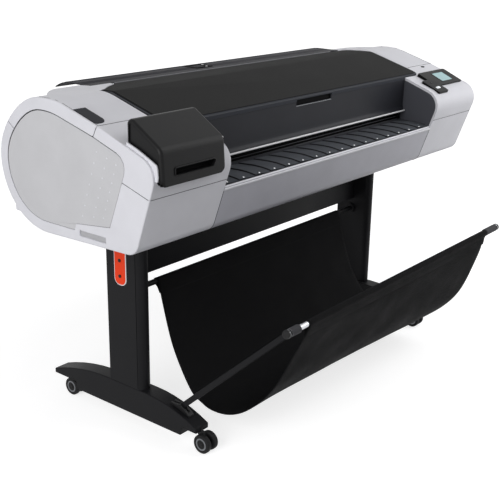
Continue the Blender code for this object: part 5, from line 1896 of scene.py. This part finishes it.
@dataclass
class Stand(Assembly):
    """Feet, posts, cross beam, twin-wheel casters and the red plate on the left post.

    The profiles of a wheel and of its ring give the distance along the axle from the wheel's inner or outer
    face, and the share of the wheel's radius.
    """

    post_out: float = 0.658
    post_front: float = -0.062
    groove_half: Point = (0.0004, 0.0009)
    groove_z: Point = (0.132, BODY_BOTTOM - 0.002)
    foot_mid: float = 0.629
    foot_half: float = 0.029
    foot_under: float = 0.0605
    foot_soft: float = 0.0030
    caster_y: Point = (-0.297, 0.282)
    trail: float = 0.020
    wheel_r: float = 0.030
    wheel_in: float = 0.0063
    wheel_w: float = 0.018
    tread_inside: Line = ((0.0, 0.30), (0.0, 0.80), (0.0010, 0.93), (0.0030, 0.985), (0.0055, 1.0))
    tread_outside: Line = (
        (-0.0055, 1.0), (-0.0030, 0.985), (-0.0010, 0.93), (0.0, 0.80), (-0.0006, 0.72), (-0.0022, 0.69),
        (-0.0022, 0.24), (-0.0002, 0.20), (-0.0002, 0.05))
    hub_ring: Line = (
        (-0.0030, 0.66), (-0.0012, 0.64), (-0.0008, 0.58), (-0.0012, 0.50), (-0.0030, 0.48))
    axle_radius: float = 0.004
    axle_spare: float = 0.002
    plate_y: Point = (-0.025, 0.026)
    plate_z: Point = (0.460, 0.570)
    plate_radii: Point = (0.022, 0.003)
    plate_border: float = 0.003
    border_x: Point = (-0.0016, 0.001)
    red_x: Point = (-0.0026, -0.0010)
    screw_radius: float = 0.0055
    screw_in: float = 0.030
    screw_x: Point = (-0.0052, -0.002)

    def build(self) -> None:
        """Build the stand."""
        half_x, half_y = self.groove_half
        outline = plate((self.post_out - half_x, self.post_out + half_x),
                        (self.post_front - half_y, self.post_front + half_y), 0.0002)
        for side in Side:
            self.shop.dress(f"{side.word}_foot", STAND, [Rounding(self.foot_top, self.foot_soft, 3)], 0.0010)
            self.shop.dress(f"{side.word}_post", STAND, soft=0.0010)
            groove = soft_prism(Axis.Z, outline, *self.groove_z, 0.0002)
            self.add(f"{side.word}_post_groove", mirrored(groove, side), BLACK_AND_SHADE)
            for end, y in zip(("front", "rear"), self.caster_y):
                self.caster(f"{side.word}_{end}", side, y)
        self.shop.dress("cross_beam", STAND, soft=0.0012)
        self.lock_plate()

    def foot_top(self, edge: Edge) -> bool:
        """Whether an edge lies on the outside of a foot, above its casters."""
        outside = all(abs(abs(abs(v.co.x) - self.foot_mid) - self.foot_half) < CLOSE for v in edge.verts)
        return outside and all(v.co.z > self.foot_under for v in edge.verts)

    def caster(self, name: str, side: Side, y: float) -> None:
        """A fork and its pair of wheels with grey rings on the hubs.

        Args:
            name: Start of the names of its pieces.
            side: On which foot.
            y: Depth of its swivel.
        """
        self.shop.dress(f"{name}_caster_fork", BLACK, soft=0.0010)
        axle = (y - self.trail, self.wheel_r)
        inside, outside = self.wheel_in, self.wheel_in + self.wheel_w
        tread = [(inside + along, share) for along, share in self.tread_inside]
        tread += [(outside + along, share) for along, share in self.tread_outside]
        ring = [(outside + along, share) for along, share in self.hub_ring]
        wheels, rings = [], []
        for way in (-1, 1):
            for made, profile in ((wheels, tread), (rings, ring)):
                turns = [(self.foot_mid + way * along, self.wheel_r * share) for along, share in profile]
                made.append(turned(Axis.X, axle, turns))
        reach = self.wheel_in + self.axle_spare
        low, high = self.foot_mid - reach, self.foot_mid + reach
        wheels.append(bar(Axis.X, axle, self.axle_radius, low, high, 0.0005))
        body = f"{name}_wheels"
        self.add(f"{name}_wheel_pair", mirrored(merged(wheels), side), WHEEL, body,
                      [f"{name}_caster_wheels"])
        self.add(f"{name}_wheel_rings", mirrored(merged(rings), side), HUB, body)

    def lock_plate(self) -> None:
        """Red plate with a white border and two screws on the outside of the left post."""
        (y0, y1), (z0, z1), (foot, top) = self.plate_y, self.plate_z, self.plate_radii
        outline = rounded([(y0, z0, foot), (y1, z0, foot), (y1, z1, top), (y0, z1, top)], 7)
        face = -self.post_out
        low, high = (face + x for x in self.border_x)
        border = soft_prism(Axis.X, outline, low, high, 0.0006)
        self.add("lock_plate_border", border, WHITE)
        low, high = (face + x for x in self.red_x)
        red = soft_prism(Axis.X, inset(outline, self.plate_border), low, high, 0.0005)
        self.add("lock_plate_face", red, RED)
        low, high = (face + x for x in self.screw_x)
        screws = [bar(Axis.X, ((y0 + y1) / 2, z), self.screw_radius, low, high, 0.0012)
                  for z in (z0 + self.screw_in, z1 - self.screw_in)]
        self.add("lock_plate_screws", merged(screws), BLACK)


@dataclass
class CatchBin(Assembly):
    """Rods, clips, arms and the cloth that hangs between the rods."""

    back_rod: Point = (-0.002, 0.432)
    front_rod: Point = (-0.612, 0.470)
    back_hold: float = 0.0106
    front_hold: float = 0.0095
    back_half: float = 0.510
    front_half: float = 0.548
    arm_in: float = 0.6285
    arm_out: float = 0.6355
    rod_end: float = 0.6455
    sleeve_radius: float = 0.0125
    left_sleeve_x: float = 0.588
    sleeve_gap: float = 0.002
    cap_radius: float = 0.0124
    cap_gap: float = 0.0003
    cap_over: float = 0.0012
    back_hem: Line = ((-0.0185, 0.396), (-0.008, 0.4145))
    back_wrap: Point = (-40.0, 190.0)
    sag: Line = (
        (-0.059, 0.276), (-0.097, 0.193), (-0.158, 0.106), (-0.205, 0.081), (-0.250, 0.071),
        (-0.315, 0.080), (-0.380, 0.112), (-0.445, 0.168), (-0.503, 0.240), (-0.560, 0.345),
        (-0.600, 0.425))
    front_wrap: Point = (-20.0, 215.0)
    front_hem: Line = ((-0.6140, 0.4520), (-0.6060, 0.4290))
    wrap_steps: int = 12
    columns: int = 72
    thickness: float = 0.0016
    held: float = 0.10
    swells: Sequence[tuple[float, float, float, float]] = ((3.1, 2.3, 0.7, 0.0045), (9.0, 5.0, 4.2, 0.0014))
    belly: Point = (-0.042, -0.010)
    belly_from: Spot = (-0.45, -0.10, 0.455)
    belly_over: Spot = (0.98, 0.25, 0.30)
    belly_bend: float = 1.3
    fold_y: Point = (-0.16, -0.36)
    fold_z: float = 0.10
    back_stitch: Point = (-0.0247, 0.3935)
    front_stitch: Point = (-0.5993, 0.4275)
    stitch_end: float = 0.006
    stitch_pitch: float = 0.0048
    stitch: Spot = (0.0036, 0.0009, 0.0009)

    def build(self) -> None:
        """Build the bin."""
        self.shop.dress("back_bin_rod", STAND, soft=0.0010)
        for side in Side:
            self.shop.dress(f"{side.word}_bin_arm", STAND, soft=0.0010)
            self.shop.dress(f"{side.word}_bin_clip", BLACK, soft=0.0012)
        self.shop.dress("front_bin_rod", ALLOY, soft=0.0006)
        starts = {Side.LEFT: self.left_sleeve_x, Side.RIGHT: self.front_half + self.sleeve_gap}
        for side, start in starts.items():
            sleeve = bar(Axis.X, self.front_rod, self.sleeve_radius, start, self.arm_in - 0.0002, 0.002)
            self.add(f"{side.word}_rod_sleeve", mirrored(sleeve, side), JOINT_AND_SHADOW, "bin_frame")
            low, high = self.arm_out + self.cap_gap, self.rod_end + self.cap_over
            cap = bar(Axis.X, self.front_rod, self.cap_radius, low, high, 0.003)
            self.add(f"{side.word}_rod_cap", mirrored(cap, side), BLACK, "bin_frame")
        self.cloth()

    def path(self) -> list[Point]:
        """Side view of the cloth: hem over the back rod, down through the sling, hem over the front rod.

        Returns:
            Its points in depth and height.
        """
        back = [*self.back_hem, *arc(self.back_rod, self.back_hold, *self.back_wrap, self.wrap_steps)]
        front = [*arc(self.front_rod, self.front_hold, *self.front_wrap, self.wrap_steps), *self.front_hem]
        return back[:-1] + eased([back[-1], *self.sag, front[0]])[:-1] + front

    def half_at(self, y: float) -> float:
        """Half width of the cloth at a depth."""
        share = (y - self.back_rod[0]) / (self.front_rod[0] - self.back_rod[0])
        return self.back_half + (self.front_half - self.back_half) * clamped(share)

    def lean(self, x: float, y: float, z: float) -> float:
        """How far the belly swings forward: most at the lower front on the right, none at the rods.

        Args:
            x: Place across the cloth.
            y: Depth.
            z: Height.

        Returns:
            The share of the full swing, from 0 to 1.
        """
        (start_x, start_y, start_z), (over_x, over_y, over_z) = self.belly_from, self.belly_over
        across = clamped((x - start_x) / over_x)
        ahead = clamped((start_y - y) / over_y)
        below = clamped((start_z - z) / over_z)
        return across ** self.belly_bend * ahead * math.sin(math.pi * below / 2)

    def cloth(self) -> None:
        """The sling with its hems, a little uneven, and the stitches along the hems."""
        path = self.path()
        lengths = [0.0]
        for here, there in zip(path, path[1:]):
            lengths.append(lengths[-1] + (Vector(there) - Vector(here)).length)
        total = lengths[-1]
        solid = bmesh.new()
        layer = solid.loops.layers.uv.new("cloth")
        rows = []
        for (y, z), along in zip(path, lengths):
            fade = math.sin(math.pi * clamped((along - self.held) / (total - 2 * self.held)))
            row = []
            for k in range(self.columns + 1):
                x = (2 * k / self.columns - 1) * self.half_at(y)
                swell = sum(noise.noise(Vector((x * across, along * down, seed))) * height
                            for across, down, seed, height in self.swells)
                lean = self.lean(x, y, z)
                rise = lean * self.belly[1] + fade * swell
                row.append(solid.verts.new(at(x, y + lean * self.belly[0], z + rise)))
            rows.append(row)
        area = 0.0
        for i in range(len(rows) - 1):
            for k in range(self.columns):
                face = solid.faces.new((rows[i][k], rows[i][k + 1], rows[i + 1][k + 1], rows[i + 1][k]))
                area += face.calc_area()
                for loop, v in zip(face.loops, (i, i, i + 1, i + 1)):
                    loop[layer].uv = (loop.vert.co.x, lengths[v])
        item = placed("bin_cloth", solid)
        item.data.shade_smooth()
        thick = item.modifiers.new("thickness", "SOLIDIFY")
        thick.thickness = self.thickness
        thick.offset = 0.0
        settle(item)
        self.shop.ride(item, CLOTH, "machine", ["bin_cloth_rear", "bin_cloth_front"])
        stitches = self.stitching()
        item.parent = None
        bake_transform(item)

    def stitching(self) -> list[Piece]:
        """Lines of stitches below each rod.

        Returns:
            The two pieces.
        """
        made = []
        sizes = {"Pitch": self.stitch_pitch, "Stitch": self.stitch}
        hems = (("back_hem_stitches", "machine", self.back_stitch, self.back_half),
                ("front_hem_stitches", "bin_frame", self.front_stitch, self.front_half))
        for name, body, spot, half in hems:
            end = half - self.stitch_end
            carrier = trace([[at(-end, *spot), at(end, *spot)]])
            made.append(self.shop.repeat(Repeat.STITCHES, name, carrier, sizes, THREAD, body))
        return made


@dataclass(frozen=True)
class Lamp:
    """A square area lamp: where it stands, what it is aimed at, its side in metres and its power in watts."""

    name: str
    place: Spot
    target: Spot
    size: float
    power: float

    def build(self) -> None:
        """Put the lamp in the scene."""
        data = bpy.data.lights.new(self.name, "AREA")
        data.size = self.size
        data.energy = self.power
        item = bpy.data.objects.new(self.name, data)
        item.location = at(*self.place)
        item.rotation_euler = (at(*self.target) - item.location).to_track_quat("-Z", "Y").to_euler()
        bpy.context.scene.collection.objects.link(item)


@dataclass
class Studio(Assembly):
    """Camera at the photograph's angle, pale floor and soft light."""

    eye: Spot = (-2.463, -1.932, 1.466)
    yaw: float = 51.5
    pitch: float = 18.72
    roll: float = 0.99
    lens: float = 66.63
    sensor: float = 36.0
    far: float = 200.0
    sky: float = 0.25
    floor_size: float = 60.0
    floor_colour: Spot = (0.55, 0.55, 0.555)
    floor_roughness: float = 0.9
    floor_specular: float = 0.1
    glow: Point = (0.74, 1.0)
    glow_reach: Point = (0.9, 3.0)
    lamps: Sequence[Lamp] = (
        Lamp("key_lamp", (-4.2, -0.9, 2.0), (-0.4, -0.1, 0.8), 2.6, 98.0),
        Lamp("fill_lamp", (1.6, -2.0, 3.4), (0.5, -0.3, 0.9), 2.0, 30.0),
        Lamp("right_lamp", (1.8, -1.6, 1.5), (0.85, -0.3, 0.85), 1.2, 15.0),
        Lamp("top_lamp", (0.1, 0.5, 4.0), (0.0, 0.0, 0.9), 3.0, 4.0))

    def build(self) -> None:
        """Build the studio."""
        self.camera()
        self.floor()
        self.light()

    def camera(self) -> None:
        """Camera from the measured eye, yaw, pitch and roll."""
        yaw, pitch, roll = (math.radians(a) for a in (self.yaw, self.pitch, self.roll))
        forward = Vector((math.sin(yaw) * math.cos(pitch), math.cos(yaw) * math.cos(pitch), -math.sin(pitch)))
        level = Vector((math.cos(yaw), -math.sin(yaw), 0.0))
        rise = level.cross(forward)
        right = level * math.cos(roll) + rise * math.sin(roll)
        up = rise * math.cos(roll) - level * math.sin(roll)
        data = bpy.data.cameras.new("camera")
        data.lens = self.lens
        data.sensor_width = self.sensor
        data.clip_end = self.far
        item = bpy.data.objects.new("camera", data)
        item.matrix_world = Matrix((right, up, -forward)).transposed().to_4x4()
        item.location = at(*self.eye)
        bpy.context.scene.collection.objects.link(item)
        bpy.context.scene.camera = item

    def floor(self) -> None:
        """Wide pale floor that shows white to the camera and keeps the shadow."""
        solid = bmesh.new()
        bmesh.ops.create_grid(solid, x_segments=1, y_segments=1, size=self.floor_size)
        item = placed("floor", solid)
        material = bpy.data.materials.new("studio_floor")
        material.use_nodes = True
        tree = material.node_tree
        shader = tree.nodes["Principled BSDF"]
        shader.inputs["Base Color"].default_value = (*self.floor_colour, 1.0)
        shader.inputs["Roughness"].default_value = self.floor_roughness
        shader.inputs["Specular IOR Level"].default_value = self.floor_specular
        place = tree.nodes.new("ShaderNodeTexCoord")
        away = tree.nodes.new("ShaderNodeVectorMath")
        away.operation = "LENGTH"
        level = tree.nodes.new("ShaderNodeMapRange")
        ends = zip(("From Min", "From Max", "To Min", "To Max"), (*self.glow_reach, *self.glow))
        for socket, value in ends:
            level.inputs[socket].default_value = value
        tree.links.new(place.outputs["Object"], away.inputs[0])
        tree.links.new(away.outputs["Value"], level.inputs["Value"])
        glow = Paintshop.maths(tree, "MULTIPLY", self.seen(tree), level.outputs["Result"])
        shader.inputs["Emission Color"].default_value = (1.0, 1.0, 1.0, 1.0)
        tree.links.new(glow, shader.inputs["Emission Strength"])
        item.data.materials.append(material)

    @staticmethod
    def seen(tree: Tree) -> Socket:
        """Mask of the rays that show the surroundings: straight, mirrored or through glass.

        Args:
            tree: Node tree of the floor or the sky.

        Returns:
            One for such a ray, and none for a ray that only brings light.
        """
        path = tree.nodes.new("ShaderNodeLightPath")
        value = path.outputs["Is Camera Ray"]
        for ray in ("Is Glossy Ray", "Is Transmission Ray"):
            value = Paintshop.maths(tree, "MAXIMUM", value, path.outputs[ray])
        return value

    def light(self) -> None:
        """White sky, dimmer as a lamp than it looks, with a key, a fill, a right and a top lamp."""
        world = bpy.data.worlds.new("studio_sky")
        bpy.context.scene.world = world
        world.use_nodes = True
        tree = world.node_tree
        back = tree.nodes["Background"]
        back.inputs["Color"].default_value = (1.0, 1.0, 1.0, 1.0)
        strength = tree.nodes.new("ShaderNodeMapRange")
        strength.inputs["To Min"].default_value = self.sky
        tree.links.new(self.seen(tree), strength.inputs["Value"])
        tree.links.new(strength.outputs["Result"], back.inputs["Strength"])
        for lamp in self.lamps:
            lamp.build()


def main() -> None:
    """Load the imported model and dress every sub-assembly."""
    logging.basicConfig(level=logging.INFO, format="%(message)s")
    bpy.context.scene.view_settings.view_transform = "Standard"
    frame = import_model()
    bodies = frame["record"]["behaviour"]["bodies"]
    shop = Workshop(frame["nodes"], {node: body for body, nodes in bodies.items() for node in nodes})
    for part in (Studio, EndCovers, MiddleBody, Lid, InkCover, RollBay, Mechanism, Controls, Stand, CatchBin):
        part(shop).build()


if __name__ == "__main__":
    main()
